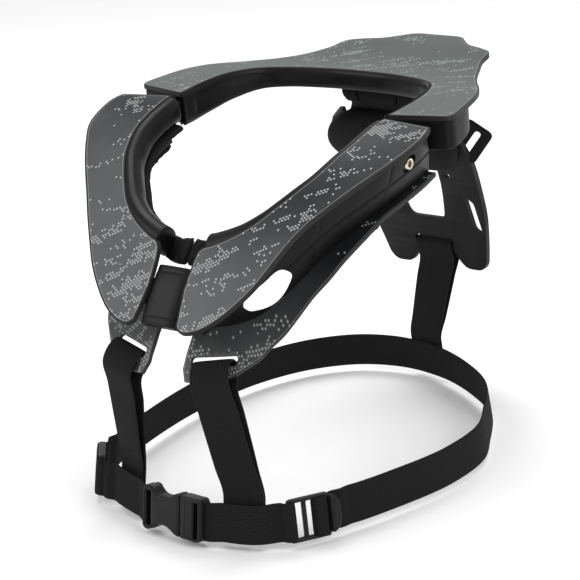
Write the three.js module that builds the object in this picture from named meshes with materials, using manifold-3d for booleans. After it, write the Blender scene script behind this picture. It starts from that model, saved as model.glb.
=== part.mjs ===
// Neck brace for off-road riding, as worn: two printed arms and a printed rear platform round the
// neck, chest plates below the arms, a back plate behind, and a belt on three double straps.
// Millimetres. +X is the wearer's left, -Y the wearer's front, +Z up. The origin is the middle of
// the neck opening's width, on the line where the front and rear halves meet.
import * as THREE from "three";
import { mergeVertices } from "three/addons/utils/BufferGeometryUtils.js";
import Module from "manifold-3d";

const wasm = await Module();
wasm.setup();

// Driving sizes of the plates round the neck
const HALF_WIDTH = 128; // from the middle to an arm's outer edge
const FRONT_REACH = 150; // from the origin to the arms' tips
const FRONT_DROP = 111; // how far the tips lie below the origin
const REAR_REACH = 197; // from the origin to the end of the rear lobe
const REAR_LIFT = 9.2; // how far the lobe's end lies above the origin
const NECK_HALF = 86; // half the width of the neck opening
const NECK_REAR = 96; // from the origin to the opening's rear edge
const CHEST_DROP = 146; // how far the chest plates' ends lie below the origin
const PLATE_WALL = 3.2;
const GAP = 0.3; // clearance between pieces that touch
const DRAPE_GAP = 0.8; // clearance between pieces that follow the curved profile

// Driving sizes of what is below the plates
const BODY_DEPTH = 19; // height of the rear body's blocks
const BODY_SHELF = 12; // how far the rear platform overhangs its body
const ARM_SHELF = 4; // how far an arm plate overhangs its body
const RIM_INSET = 4; // how far a bumper reaches in under its plate
const THIN_BODY = 4.5; // depth of the arm body ahead of the side gap
const BUMPER_REACH = 7.4; // how far an arm bumper stands into the neck opening
const BUMPER_DEPTH = 19;
const REAR_BUMPER_REACH = 3;
const PAD_REACH = 9;
const PAD_DEPTH = 5.5;
const CHEST_WALL = 3;
const CHEST_PAD = 4.5;
const CHEST_LIP = 5; // how far a chest plate stands out past the arm body at its rear end

// Driving sizes of the webbing and its fittings
const BELT_WIDTH = 26;
const WEB_WALL = 1.8;
const BELT_HALF_WIDTH = 122;
const BELT_HALF_DEPTH = 163;
const BELT_BACK = 16; // how far the belt's middle lies behind the origin
const BELT_DROP = 237.5; // how far the belt's middle line lies below the origin
const BELT_FLARE = 0.13; // how far the belt leans outwards for each millimetre down
const FRONT_STRAP_WIDTH = 28;
const REAR_STRAP_WIDTH = 30;
const SLOT_HEIGHT = 7;
const FRONT_PLAY = 3.3; // clearance of a flat strap on a curved plate or belt
const REAR_PLAY = 1.3;
const SLOT_PLAY = 3; // how much longer a slot is than its strap is wide
const FITTING_HEIGHT = 29; // buckle and adjusters
const BUCKLE_LENGTH = 52;
const BUCKLE_DEPTH = 11;
const ADJUSTER_LENGTH = 37;
const ADJUSTER_DEPTH = 7;

// Driving sizes of the back plate and what it carries
const BACK_HALF = 57;
const BACK_DROP = 165;
const BACK_WALL = 4.5;
const BACK_PAD = 14;
const REAR_PAD_DEPTH = 8.3;
const REAR_PAD_SET_BACK = 16.5; // from the neck opening's rear edge to the rear pads' faces
const BRACKET_WALL = 3;
const BOLT_RADIUS = 4.6;

// Side profile of all the plates: how far forward or back, and how high
const FRONT_PROFILE = [
  { reach: 1.06, drop: 1.075 },
  { reach: 1.0, drop: 1.0 },
  { reach: 0.947, drop: 0.905 },
  { reach: 0.893, drop: 0.804 },
  { reach: 0.84, drop: 0.703 },
  { reach: 0.787, drop: 0.595 },
  { reach: 0.733, drop: 0.495 },
  { reach: 0.673, drop: 0.405 },
  { reach: 0.6, drop: 0.32 },
  { reach: 0.533, drop: 0.25 },
  { reach: 0.453, drop: 0.18 },
  { reach: 0.367, drop: 0.115 },
  { reach: 0.24, drop: 0.052 },
  { reach: 0.12, drop: 0.005 },
];
const REAR_PROFILE = [
  { reach: 0.05, lift: 0.25 },
  { reach: 0.15, lift: 0.44 },
  { reach: 0.25, lift: 0.56 },
  { reach: 0.345, lift: 0.57 },
  { reach: 0.457, lift: 0.44 },
  { reach: 0.584, lift: 0.3 },
  { reach: 0.67, lift: 0.32 },
  { reach: 0.77, lift: 0.52 },
  { reach: 0.863, lift: 0.78 },
  { reach: 1.01, lift: 1.0 },
];

// Arm sections from the shoulder end to the tip. Widths are shares of HALF_WIDTH, reaches of
// FRONT_REACH and drops of CHEST_DROP. in is the neck side, out the outer side; the chest columns
// give the chest plate below.
const ARM_ROWS = [
  { inX: 0.684, inY: 0.055, outX: 0.984, outY: 0.096 },
  { inX: 0.676, inY: 0.145, outX: 1.005, outY: 0.155 },
  { inX: 0.672, inY: 0.24, outX: 1.002, outY: 0.253 },
  { inX: 0.655, inY: 0.34, outX: 0.969, outY: 0.367 },
  { inX: 0.629, inY: 0.42, outX: 0.91, outY: 0.45 },
  { inX: 0.594, inY: 0.493, outX: 0.84, outY: 0.533 },
  { inX: 0.547, inY: 0.553, outX: 0.773, outY: 0.603 },
  { inX: 0.488, inY: 0.617, outX: 0.703, outY: 0.673 },
  { inX: 0.422, inY: 0.677, outX: 0.633, outY: 0.747 },
  { inX: 0.352, inY: 0.719, outX: 0.574, outY: 0.803 },
  { inX: 0.277, inY: 0.747, outX: 0.508, outY: 0.863 },
  { inX: 0.195, inY: 0.77, outX: 0.422, outY: 0.92 },
  { inX: 0.141, inY: 0.782, outX: 0.328, outY: 0.967 },
  { inX: 0.117, inY: 0.797, outX: 0.242, outY: 0.995 },
  { inX: 0.11, inY: 0.84, outX: 0.172, outY: 1.0 },
  { inX: 0.108, inY: 0.9, outX: 0.13, outY: 0.985 },
];
const CHEST_ROWS = [
  { inX: 0.773, inY: -0.013, inZ: 0.226, outX: 0.914, outY: -0.033, outZ: 0.24 },
  { inX: 0.766, inY: 0.08, inZ: 0.25, outX: 0.914, outY: 0.067, outZ: 0.27 },
  { inX: 0.75, inY: 0.173, inZ: 0.281, outX: 0.891, outY: 0.187, outZ: 0.312 },
  { inX: 0.719, inY: 0.267, inZ: 0.325, outX: 0.852, outY: 0.313, outZ: 0.363 },
  { inX: 0.672, inY: 0.353, inZ: 0.377, outX: 0.805, outY: 0.4, outZ: 0.435 },
  { inX: 0.625, inY: 0.44, inZ: 0.435, outX: 0.75, outY: 0.48, outZ: 0.514 },
  { inX: 0.578, inY: 0.513, inZ: 0.493, outX: 0.703, outY: 0.547, outZ: 0.589 },
  { inX: 0.523, inY: 0.6, inZ: 0.562, outX: 0.648, outY: 0.607, outZ: 0.664 },
  { inX: 0.453, inY: 0.653, inZ: 0.616, outX: 0.602, outY: 0.66, outZ: 0.74 },
  { inX: 0.375, inY: 0.693, inZ: 0.664, outX: 0.559, outY: 0.72, outZ: 0.808 },
  { inX: 0.297, inY: 0.733, inZ: 0.699, outX: 0.523, outY: 0.773, outZ: 0.849 },
  { inX: 0.211, inY: 0.773, inZ: 0.733, outX: 0.484, outY: 0.81, outZ: 0.897 },
  { inX: 0.141, inY: 0.797, inZ: 0.753, outX: 0.422, outY: 0.863, outZ: 0.938 },
  { inX: 0.113, inY: 0.827, inZ: 0.788, outX: 0.375, outY: 0.89, outZ: 0.969 },
  { inX: 0.111, inY: 0.867, inZ: 0.842, outX: 0.281, outY: 0.93, outZ: 0.99 },
  { inX: 0.109, inY: 0.907, inZ: 0.904, outX: 0.203, outY: 0.957, outZ: 1.0 },
  { inX: 0.109, inY: 0.933, inZ: 0.952, outX: 0.133, outY: 0.957, outZ: 1.0 },
];
const GAP_START = 7; // the arm body is thin between these two sections
const GAP_END = 12;
const POST_END = 13; // a narrow post reaches the chest plate up to this section
const BUMPER_ROWS = 13; // the sections that the bumper follows
const CHEST_PAD_ROWS = 12; // the sections that the chest pad covers
const JOINER_WALL = 8;
const CORNER_STEPS = 4;

// Rear platform sections from the limb's end to the middle. Neck-side widths are shares of
// NECK_HALF and reaches of NECK_REAR; outer widths are shares of HALF_WIDTH and reaches of
// REAR_REACH. shelf and depth are shares of BODY_SHELF and BODY_DEPTH.
const REAR_ROWS = [
  { inX: 0.99, inY: -0.005, outX: 0.98, outY: 0.04, shelf: 0.12, depth: 1.0 },
  { inX: 0.998, inY: 0.083, outX: 0.995, outY: 0.066, shelf: 0.12, depth: 1.0 },
  { inX: 1.0, inY: 0.188, outX: 0.984, outY: 0.122, shelf: 0.12, depth: 0.98 },
  { inX: 0.998, inY: 0.29, outX: 0.969, outY: 0.178, shelf: 0.15, depth: 0.94 },
  { inX: 0.986, inY: 0.396, outX: 0.949, outY: 0.234, shelf: 0.3, depth: 0.88 },
  { inX: 0.965, inY: 0.5, outX: 0.922, outY: 0.289, shelf: 0.55, depth: 0.82 },
  { inX: 0.93, inY: 0.594, outX: 0.883, outY: 0.345, shelf: 0.8, depth: 0.75 },
  { inX: 0.89, inY: 0.677, outX: 0.82, outY: 0.409, shelf: 0.95, depth: 0.67 },
  { inX: 0.837, inY: 0.755, outX: 0.758, outY: 0.467, shelf: 1.0, depth: 0.6 },
  { inX: 0.773, inY: 0.818, outX: 0.68, outY: 0.548, shelf: 1.0, depth: 0.56 },
  { inX: 0.698, inY: 0.87, outX: 0.617, outY: 0.619, shelf: 1.0, depth: 0.54 },
  { inX: 0.605, inY: 0.909, outX: 0.559, outY: 0.695, shelf: 1.0, depth: 0.53 },
  { inX: 0.512, inY: 0.938, outX: 0.508, outY: 0.772, shelf: 1.0, depth: 0.52 },
  { inX: 0.419, inY: 0.96, outX: 0.472, outY: 0.858, shelf: 1.0, depth: 0.52 },
  { inX: 0.337, inY: 0.976, outX: 0.377, outY: 0.89, shelf: 1.0, depth: 0.52 },
  { inX: 0.256, inY: 0.988, outX: 0.289, outY: 0.913, shelf: 1.0, depth: 0.52 },
  { inX: 0.163, inY: 0.995, outX: 0.223, outY: 0.957, shelf: 1.0, depth: 0.52 },
  { inX: 0.081, inY: 0.999, outX: 0.162, outY: 0.998, shelf: 1.0, depth: 0.52 },
  { inX: 0.0, inY: 1.0, outX: 0.0, outY: 1.008, shelf: 1.0, depth: 0.52 },
];

const v2 = (x, y) => new THREE.Vector2(x, y);
const v3 = (x, y, z) => new THREE.Vector3(x, y, z);
const mix = THREE.MathUtils.lerp;
const clamp = THREE.MathUtils.clamp;

// A smooth value through sorted knots of [at, value].
function smooth(knots, at) {
  const last = knots.length - 2;
  let k = 0;
  while (k < last && at > knots[k + 1][0]) k++;
  const slope = (i) => {
    const before = knots[Math.max(i - 1, 0)];
    const after = knots[Math.min(i + 1, knots.length - 1)];
    return (after[1] - before[1]) / (after[0] - before[0]);
  };
  const span = knots[k + 1][0] - knots[k][0];
  const t = clamp((at - knots[k][0]) / span, 0, 1);
  const u = 1 - t;
  const rise = u * u * (1 + 2 * t) * knots[k][1] + t * t * (3 - 2 * t) * knots[k + 1][1];
  return rise + span * (t * u * u * slope(k) - t * t * u * slope(k + 1));
}

const PROFILE_KNOTS = [
  ...FRONT_PROFILE.map((row) => [-row.reach * FRONT_REACH, -row.drop * FRONT_DROP]),
  ...REAR_PROFILE.map((row) => [row.reach * REAR_REACH, row.lift * REAR_LIFT]),
];

// Height of the plates' top face at a reach y.
function plateHeight(y) {
  return smooth(PROFILE_KNOTS, y);
}

// A point h above the plates' top face over (x, y), measured square to the face.
function onPlate(x, y, h = 0) {
  const slope = plateHeight(y + 0.5) - plateHeight(y - 0.5);
  const long = Math.hypot(1, slope);
  return v3(x, y - (h * slope) / long, plateHeight(y) + h / long);
}

// Turns the faces outwards where they point in.
function facingOut(positions, index) {
  let volume = 0;
  const at = (i) => v3(positions[3 * i], positions[3 * i + 1], positions[3 * i + 2]);
  for (let i = 0; i < index.length; i += 3) {
    volume += at(index[i]).dot(at(index[i + 1]).cross(at(index[i + 2])));
  }
  if (volume < 0) index.reverse();
  const geometry = new THREE.BufferGeometry();
  geometry.setAttribute("position", new THREE.Float32BufferAttribute(positions, 3));
  geometry.setIndex(index);
  geometry.computeVertexNormals();
  return geometry;
}

// One closed solid through matching loops with an even number of points. Each end is closed by
// rungs between the loop's first half and its second half. A ring has no ends.
function loft(loops, ring = false) {
  const around = loops[0].length;
  const positions = loops.flat().flatMap((p) => [p.x, p.y, p.z]);
  const index = [];
  const spans = ring ? loops.length : loops.length - 1;
  for (let i = 0; i < spans; i++) {
    const here = i * around;
    const next = ((i + 1) % loops.length) * around;
    for (let k = 0; k < around; k++) {
      const m = (k + 1) % around;
      index.push(here + k, here + m, next + m, here + k, next + m, next + k);
    }
  }
  if (!ring) {
    const end = (loops.length - 1) * around;
    for (let k = 0; k < around / 2 - 1; k++) {
      const far = around - 1 - k;
      index.push(k, far, k + 1, k + 1, far, far - 1);
      index.push(end + k, end + k + 1, end + far, end + k + 1, end + far - 1, end + far);
    }
  }
  return facingOut(positions, index);
}

// The loop of a slab's section from its top points and its bottom points.
function slabLoop(top, bottom) {
  return [...top, ...bottom.slice().reverse()];
}

// The same shape on the wearer's other side.
function mirrored(geometry) {
  const flat = mergeVertices(bare(geometry));
  const positions = Array.from(flat.attributes.position.array);
  for (let i = 0; i < positions.length; i += 3) positions[i] = -positions[i];
  return facingOut(positions, Array.from(flat.index.array));
}

// A copy that holds nothing but its places.
function bare(geometry) {
  const copy = geometry.clone();
  copy.deleteAttribute("normal");
  copy.deleteAttribute("uv");
  return copy;
}

function toSolid(geometry) {
  const merged = mergeVertices(bare(geometry));
  const mesh = new wasm.Mesh({
    numProp: 3,
    vertProperties: merged.attributes.position.array,
    triVerts: new Uint32Array(merged.index.array),
  });
  return new wasm.Manifold(mesh);
}

function fromSolid(solid) {
  const mesh = solid.getMesh();
  return facingOut(Array.from(mesh.vertProperties), Array.from(mesh.triVerts));
}

// The first shape less all the others.
function cut(geometry, ...tools) {
  let solid = toSolid(geometry);
  for (const tool of tools) solid = solid.subtract(toSolid(tool));
  return fromSolid(solid);
}

// All the shapes joined into one.
function join(...geometries) {
  const [first, ...rest] = geometries.map(toSolid);
  return fromSolid(rest.reduce((sum, next) => sum.add(next), first));
}

// Equal steps from a to b, count spans of them.
function steps(a, b, count) {
  return Array.from({ length: count + 1 }, (_, i) => mix(a, b, i / count));
}

// Arms

const ACROSS = 4; // spans across a plate

// The sections of a plate with the way square to its neck-side edge.
function withEdges(rows) {
  return rows.map((row, i) => {
    const before = rows[Math.max(i - 1, 0)].inner;
    const after = rows[Math.min(i + 1, rows.length - 1)].inner;
    const along = after.clone().sub(before).normalize();
    const across = row.outer.clone().sub(row.inner).normalize();
    const inward = v2(along.y, -along.x);
    if (inward.dot(across) > 0) inward.negate();
    return { ...row, across, inward, lean: Math.max(-inward.dot(across), 0.35) };
  });
}

const ARM = withEdges(
  ARM_ROWS.map((row) => ({
    inner: v2(row.inX * HALF_WIDTH, -row.inY * FRONT_REACH),
    outer: v2(row.outX * HALF_WIDTH, -row.outY * FRONT_REACH),
  })),
);
const CHEST = CHEST_ROWS.map((row) => ({
  inner: v3(row.inX * HALF_WIDTH, -row.inY * FRONT_REACH, -row.inZ * CHEST_DROP),
  outer: v3(row.outX * HALF_WIDTH, -row.outY * FRONT_REACH, -row.outZ * CHEST_DROP),
}));

// Points across a plate section at height h, drawn in from its edges by the two insets.
function plateRow(section, h, innerInset = 0, outerInset = 0) {
  const width = section.inner.distanceTo(section.outer);
  const from = innerInset / section.lean / width;
  const to = 1 - outerInset / width;
  return steps(from, to, ACROSS).map((t) => {
    const p = section.inner.clone().lerp(section.outer, t);
    return onPlate(p.x, p.y, h);
  });
}

function armPlate() {
  return loft(ARM.map((row) => slabLoop(plateRow(row, 0), plateRow(row, -PLATE_WALL))));
}

// Way square to the chest plate's face at a section.
function chestNormal(i) {
  const before = CHEST[Math.max(i - 1, 0)];
  const after = CHEST[Math.min(i + 1, CHEST.length - 1)];
  const along = after.inner.clone().add(after.outer).sub(before.inner).sub(before.outer);
  const across = CHEST[i].outer.clone().sub(CHEST[i].inner);
  const normal = along.cross(across).normalize();
  return normal.y > 0 ? normal.negate() : normal;
}

// Points across a chest plate section at height h above its top face.
function chestRow(i, h, innerInset = 0, outerInset = 0) {
  const { inner, outer } = CHEST[i];
  const width = inner.distanceTo(outer);
  const normal = chestNormal(i);
  return steps(innerInset / width, 1 - outerInset / width, ACROSS).map((t) =>
    inner.clone().lerp(outer, t).addScaledVector(normal, h),
  );
}

// The sections are deep down to the chest plate behind the side gap and ahead of it.
function armBody() {
  const under = -PLATE_WALL - DRAPE_GAP;
  const loops = ARM.map((row, i) => {
    const width = row.inner.distanceTo(row.outer);
    const innerInset = i < BUMPER_ROWS ? RIM_INSET + DRAPE_GAP : 0.12 * width;
    const outerInset = Math.min(ARM_SHELF, width * 0.2);
    const top = plateRow(row, under, innerInset, outerInset);
    const { inner, outer } = CHEST[i];
    const floor = inner.distanceTo(outer);
    const lip = mix(CHEST_LIP, 0.6 * floor, clamp((i - 2) / 5, 0, 1));
    if (i <= GAP_START) return slabLoop(top, chestRow(i, DRAPE_GAP, 2.4, lip));
    if (i < GAP_END || i > POST_END) {
      return slabLoop(top, plateRow(row, under - THIN_BODY, innerInset, outerInset));
    }
    return slabLoop(top, chestRow(i, DRAPE_GAP, 2.4, 0.7 * floor));
  });
  return loft(loops);
}

function chestPlate() {
  const rows = CHEST.map((_, i) => slabLoop(chestRow(i, 0), chestRow(i, -CHEST_WALL)));
  return cut(loft(rows), slotTool(FRONT_SLOT, FRONT_STRAP_WIDTH));
}

// The pad stops above the strap's slot.
function chestPad() {
  const top = -CHEST_WALL - DRAPE_GAP;
  const rows = CHEST.slice(0, CHEST_PAD_ROWS).map((_, i) =>
    slabLoop(chestRow(i, top, 0, 1.5), chestRow(i, top - CHEST_PAD, 0, 1.5)),
  );
  return loft(rows);
}

// Sections of a rim that follows a plate's neck-side edge. Each profile point gives how far the
// rim stands into the opening and how far it lies above the plate's top face.
function rimLoops(rows, profileOf) {
  return rows.map((row, i) =>
    profileOf(i).map(([reach, h]) => {
      const p = row.inner.clone();
      if (reach < 0) p.addScaledVector(row.across, -reach / row.lean);
      if (reach >= 0) p.addScaledVector(row.inward, reach);
      return onPlate(p.x, p.y, h);
    }),
  );
}

function armBumper() {
  const r = BUMPER_REACH;
  const d = BUMPER_DEPTH;
  const under = -PLATE_WALL - DRAPE_GAP;
  const profile = [
    [DRAPE_GAP + 0.1, under],
    [DRAPE_GAP + 0.1, -DRAPE_GAP],
    [0.35 * r, -0.03 * d],
    [0.68 * r, -0.13 * d],
    [0.92 * r, -0.32 * d],
    [r, -0.56 * d],
    [0.88 * r, -0.82 * d],
    [0.55 * r, -0.97 * d],
    [0, -d],
    [-RIM_INSET, -d],
    [-RIM_INSET, -0.6 * d],
    [-RIM_INSET, under],
  ];
  return loft(rimLoops(ARM.slice(0, BUMPER_ROWS), () => profile));
}

// The soft strip goes on past the bumper to the middle, where it meets its neighbour.
function armPad() {
  const meeting = [0.07, GAP / 2 / HALF_WIDTH].map((x) => ({
    inner: v2(x * HALF_WIDTH, -0.79 * FRONT_REACH),
    outer: v2(x * HALF_WIDTH, -0.95 * FRONT_REACH),
  }));
  const arm = ARM.slice(0, BUMPER_ROWS);
  const rows = [...arm, ...withEdges([arm[BUMPER_ROWS - 1], ...meeting]).slice(1)];
  const raised = 0.5 * BUMPER_DEPTH;
  return loft(
    rimLoops(rows, (i) => {
      const top = -BUMPER_DEPTH - DRAPE_GAP + (i <= BUMPER_ROWS ? 0 : raised);
      return [
        [-RIM_INSET, top],
        [0.5 * PAD_REACH, top],
        [0.85 * PAD_REACH, top - 0.1 * PAD_DEPTH],
        [PAD_REACH, top - 0.45 * PAD_DEPTH],
        [0.85 * PAD_REACH, top - PAD_DEPTH],
        [-RIM_INSET, top - PAD_DEPTH],
      ];
    }),
  );
}

// The flexible piece between the arms' front edges, a little below their faces.
function frontJoiner() {
  const half = ARM[ARM.length - 1].inner.x - GAP - 0.2;
  const rows = steps(0.83, 0.99, 5).map((share) => {
    const y = -share * FRONT_REACH;
    const row = (h) => steps(-half, half, 2).map((x) => onPlate(x, y, h));
    return slabLoop(row(-1), row(-1 - JOINER_WALL));
  });
  return loft(rows);
}

// The coloured edge above the side gap, under the thin stretch of the arm body.
function gapEdge() {
  const h = -PLATE_WALL - 2 * DRAPE_GAP - THIN_BODY;
  const rows = ARM.slice(GAP_START + 2, GAP_END).map((row) => {
    const width = row.inner.distanceTo(row.outer);
    const far = row.outer.clone().addScaledVector(row.across, -ARM_SHELF - 0.5);
    const near = row.outer.clone().addScaledVector(row.across, -Math.min(9, 0.4 * width));
    const line = (depth) => [near, far].map((p) => onPlate(p.x, p.y, depth));
    return slabLoop(line(h), line(h - 1.6));
  });
  return loft(rows);
}

// Rear half

const REAR_HALF = REAR_ROWS.map((row) => ({
  inner: v2(row.inX * NECK_HALF, row.inY * NECK_REAR),
  outer: v2(row.outX * HALF_WIDTH, row.outY * REAR_REACH),
  shelf: row.shelf * BODY_SHELF,
  depth: row.depth * BODY_DEPTH,
}));
const flipped = (p) => v2(-p.x, p.y);
const REAR = withEdges([
  ...REAR_HALF,
  ...REAR_HALF.slice(0, -1)
    .reverse()
    .map((row) => ({ ...row, inner: flipped(row.inner), outer: flipped(row.outer) })),
]);

function rearPlatform() {
  return loft(REAR.map((row) => slabLoop(plateRow(row, 0), plateRow(row, -PLATE_WALL))));
}

function rearBody() {
  const under = -PLATE_WALL - DRAPE_GAP;
  const inset = RIM_INSET + DRAPE_GAP;
  return loft(
    REAR.map((row) =>
      slabLoop(
        plateRow(row, under, inset, row.shelf),
        plateRow(row, under - row.depth, inset, row.shelf),
      ),
    ),
  );
}

function rearBumper() {
  const r = REAR_BUMPER_REACH;
  const under = -PLATE_WALL - DRAPE_GAP;
  return loft(
    rimLoops(REAR, (i) => {
      const d = REAR[i].depth + PLATE_WALL;
      return [
        [DRAPE_GAP, under],
        [DRAPE_GAP, -DRAPE_GAP],
        [0.6 * r, -0.06 * d],
        [r, -0.2 * d],
        [r, -0.8 * d],
        [0.5 * r, -d],
        [-RIM_INSET, -d],
        [-RIM_INSET, under],
      ];
    }),
  );
}

// A closed outline with rounded corners from rows of across, down and corner radius.
function outline(rows) {
  const path = new THREE.Path();
  rows.forEach((row, i) => {
    const corner = v2(row.x, row.z);
    const before = rows[(i + rows.length - 1) % rows.length];
    const after = rows[(i + 1) % rows.length];
    const pull = (other) => {
      const way = v2(other.x, other.z).sub(corner);
      const reach = Math.min(row.r ?? 0, 0.45 * way.length());
      return corner.clone().addScaledVector(way.normalize(), reach);
    };
    const from = pull(before);
    const to = pull(after);
    if (i === 0) path.moveTo(from.x, from.y);
    else path.lineTo(from.x, from.y);
    if (row.r) path.quadraticCurveTo(corner.x, corner.y, to.x, to.y);
  });
  const points = path.getPoints(CORNER_STEPS);
  return points.filter((p, i) => i === 0 || p.distanceTo(points[i - 1]) > 0.01);
}

// A flat shape with its face in local x and y, from z = -depth / 2 to depth / 2.
function prismOf(rim, depth) {
  const prism = new THREE.ExtrudeGeometry(new THREE.Shape(rim), { depth, bevelEnabled: false });
  return prism.translate(0, 0, -depth / 2);
}

function plateOf(rim, holes, depth) {
  return cut(prismOf(rim, depth), ...holes.map((hole) => prismOf(hole, 2 * depth)));
}

// Rows of a rectangle's corners about (x, z).
function rectangle(width, height, r, x = 0, z = 0) {
  return outline(
    [
      [-1, -1],
      [1, -1],
      [1, 1],
      [-1, 1],
    ].map(([a, b]) => ({ x: x + (a * width) / 2, z: z + (b * height) / 2, r })),
  );
}

// Puts a shape made in local axes at a place: across is its x, up its y and out its z.
function placed(geometry, { at, across, up, out }) {
  const basis = new THREE.Matrix4().makeBasis(across, up, out).setPosition(at);
  return geometry.applyMatrix4(basis);
}

// A frame at a place from its outer face's way and its width's way.
function frameAt(at, out, across) {
  const x = across.clone().normalize();
  const z = out.clone().addScaledVector(x, -out.dot(x)).normalize();
  return { at, across: x, up: z.clone().cross(x), out: z };
}

// Where the straps pass: the front slot in the wearer's left chest plate and the rear slot.
const FRONT_SLOT = frameAt(
  v3(0.263 * HALF_WIDTH, -0.882 * FRONT_REACH, -0.912 * CHEST_DROP),
  v3(0.215, -0.79, 0.565),
  v3(0.966, 0.187, 0.177),
);

// Side curve of the back plate's outer face: how far down and how far back.
const BACK_CURVE = [
  [0.06, 0.637],
  [0.17, 0.645],
  [0.242, 0.665],
  [0.333, 0.708],
  [0.43, 0.765],
  [0.564, 0.838],
  [0.745, 0.904],
  [0.873, 0.944],
  [1.01, 0.979],
].map(([down, back]) => [down * BACK_DROP, back * REAR_REACH]);

// The back plate's outer face at a level z.
function backFace(z) {
  return smooth(BACK_CURVE, -z);
}

// Way square to the back plate's outer face at a level z.
function backNormal(z) {
  const slope = (backFace(z + 1) - backFace(z - 1)) / 2;
  return v3(0, 1, -slope).normalize();
}

const REAR_SLOT_LEVEL = -0.86 * BACK_DROP;
const REAR_SLOT = frameAt(
  v3(0, backFace(REAR_SLOT_LEVEL), REAR_SLOT_LEVEL),
  backNormal(REAR_SLOT_LEVEL),
  v3(-1, 0, 0),
);

function slotTool(frame, strapWidth) {
  const rim = rectangle(strapWidth + SLOT_PLAY, SLOT_HEIGHT, SLOT_HEIGHT / 2);
  return placed(plateOf(rim, [], 4 * SLOT_HEIGHT), frame);
}

// A slab that follows the back plate's side curve, between two depths below its outer face.
function backSlab(near, far, half, top, bottom, count) {
  const rows = steps(top, bottom, count).map((z) => {
    const point = (x, depth) => v3(x, backFace(z), z).addScaledVector(backNormal(z), -depth);
    const line = (depth) => [-half, half].map((x) => point(x, depth));
    return slabLoop(line(near), line(far));
  });
  return loft(rows);
}

const BACK_TOP = -0.073 * BACK_DROP;
const BACK_OUTLINE = [
  { x: 0.49, z: 0.0, r: 0 },
  { x: 0.49, z: 0.2, r: 8 },
  { x: 0.84, z: 0.245, r: 5 },
  { x: 1.0, z: 0.32, r: 5 },
  { x: 1.0, z: 0.43, r: 6 },
  { x: 0.93, z: 0.565, r: 8 },
  { x: 0.9, z: 0.71, r: 8 },
  { x: 0.8, z: 0.875, r: 8 },
  { x: 0.74, z: 0.97, r: 4 },
  { x: 0.65, z: 1.0, r: 3 },
  { x: 0.43, z: 1.0, r: 4 },
  { x: 0.33, z: 0.96, r: 4 },
  { x: 0.3, z: 0.92, r: 3 },
];

// The rows on the wearer's left and their mirror images, as one closed outline.
function bothSides(rows) {
  const left = rows.map((row) => ({
    x: row.x * BACK_HALF,
    z: -row.z * BACK_DROP,
    r: row.r,
  }));
  return outline([...left, ...left.slice().reverse().map((row) => ({ ...row, x: -row.x }))]);
}

function backPlate() {
  const slot = (side) =>
    outline(
      [
        [0.66, 0.61],
        [0.78, 0.645],
        [0.8, 0.815],
        [0.68, 0.78],
      ].map(([x, z]) => ({ x: side * x * BACK_HALF, z: -z * BACK_DROP, r: 2 })),
    );
  const opening = bothSides([
    { x: 0.4, z: 0.42, r: 4 },
    { x: 0.43, z: 0.47, r: 4 },
    { x: 0.27, z: 0.745, r: 5 },
  ]);
  const holes = [
    opening,
    slot(1),
    slot(-1),
    rectangle(5, 5, 2.4, 0.53 * BACK_HALF, -0.51 * BACK_DROP),
    rectangle(5, 5, 2.4, -0.53 * BACK_HALF, -0.51 * BACK_DROP),
  ];
  const prism = plateOf(bothSides(BACK_OUTLINE), holes, 0.8 * REAR_REACH).rotateX(Math.PI / 2);
  prism.translate(0, 0.76 * REAR_REACH, 0);
  const slab = backSlab(0, BACK_WALL, 1.1 * BACK_HALF, BACK_TOP, -1.02 * BACK_DROP, 18);
  const plate = toSolid(slab).intersect(toSolid(prism));
  return cut(fromSolid(plate), slotTool(REAR_SLOT, REAR_STRAP_WIDTH));
}

// The thick pad on the back plate's upper front: half widths and bulge by level.
function backPad() {
  const rows = [
    [0.165, 0.46, 0.55],
    [0.185, 0.5, 0.9],
    [0.215, 0.6, 1.0],
    [0.25, 0.8, 1.0],
    [0.285, 0.92, 0.98],
    [0.32, 0.98, 0.95],
    [0.36, 0.93, 0.9],
    [0.395, 0.85, 0.8],
    [0.42, 0.78, 0.6],
  ];
  const loops = rows.map(([down, half, bulge]) => {
    const z = -down * BACK_DROP;
    const normal = backNormal(z);
    const point = (share, depth) =>
      v3(share * half * BACK_HALF, backFace(z), z).addScaledVector(normal, -depth);
    const front = [-1, -0.94, -0.5, 0, 0.5, 0.94, 1].map((share) => {
      const round = Math.abs(share) === 1 ? 0.55 : 1 - 0.1 * share * share;
      return point(share, BACK_WALL + GAP + bulge * BACK_PAD * round);
    });
    const back = [-1, -0.94, -0.5, 0, 0.5, 0.94, 1].map((share) => point(share, BACK_WALL + GAP));
    return slabLoop(front, back);
  });
  return loft(loops);
}

// A rear pad between two shares of the pads' half width.
function rearPad(from, to) {
  const half = 0.36 * NECK_HALF;
  const face = NECK_REAR + REAR_PAD_SET_BACK;
  const rows = [
    [-0.62, 1.0, 0.2],
    [-0.68, 1.0, 0.05],
    [-0.8, 1.0, 0.0],
    [-1.05, 0.97, 0.0],
    [-1.25, 0.88, 0.12],
    [-1.32, 0.84, 0.4],
  ].map(([down, width, back]) => {
    const z = down * BODY_DEPTH;
    const y = face + back * REAR_PAD_DEPTH;
    const line = (at) => steps(from, to, 2).map((share) => v3(share * half * width, at, z));
    return slabLoop(line(y), line(face + REAR_PAD_DEPTH));
  });
  return loft(rows);
}

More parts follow.
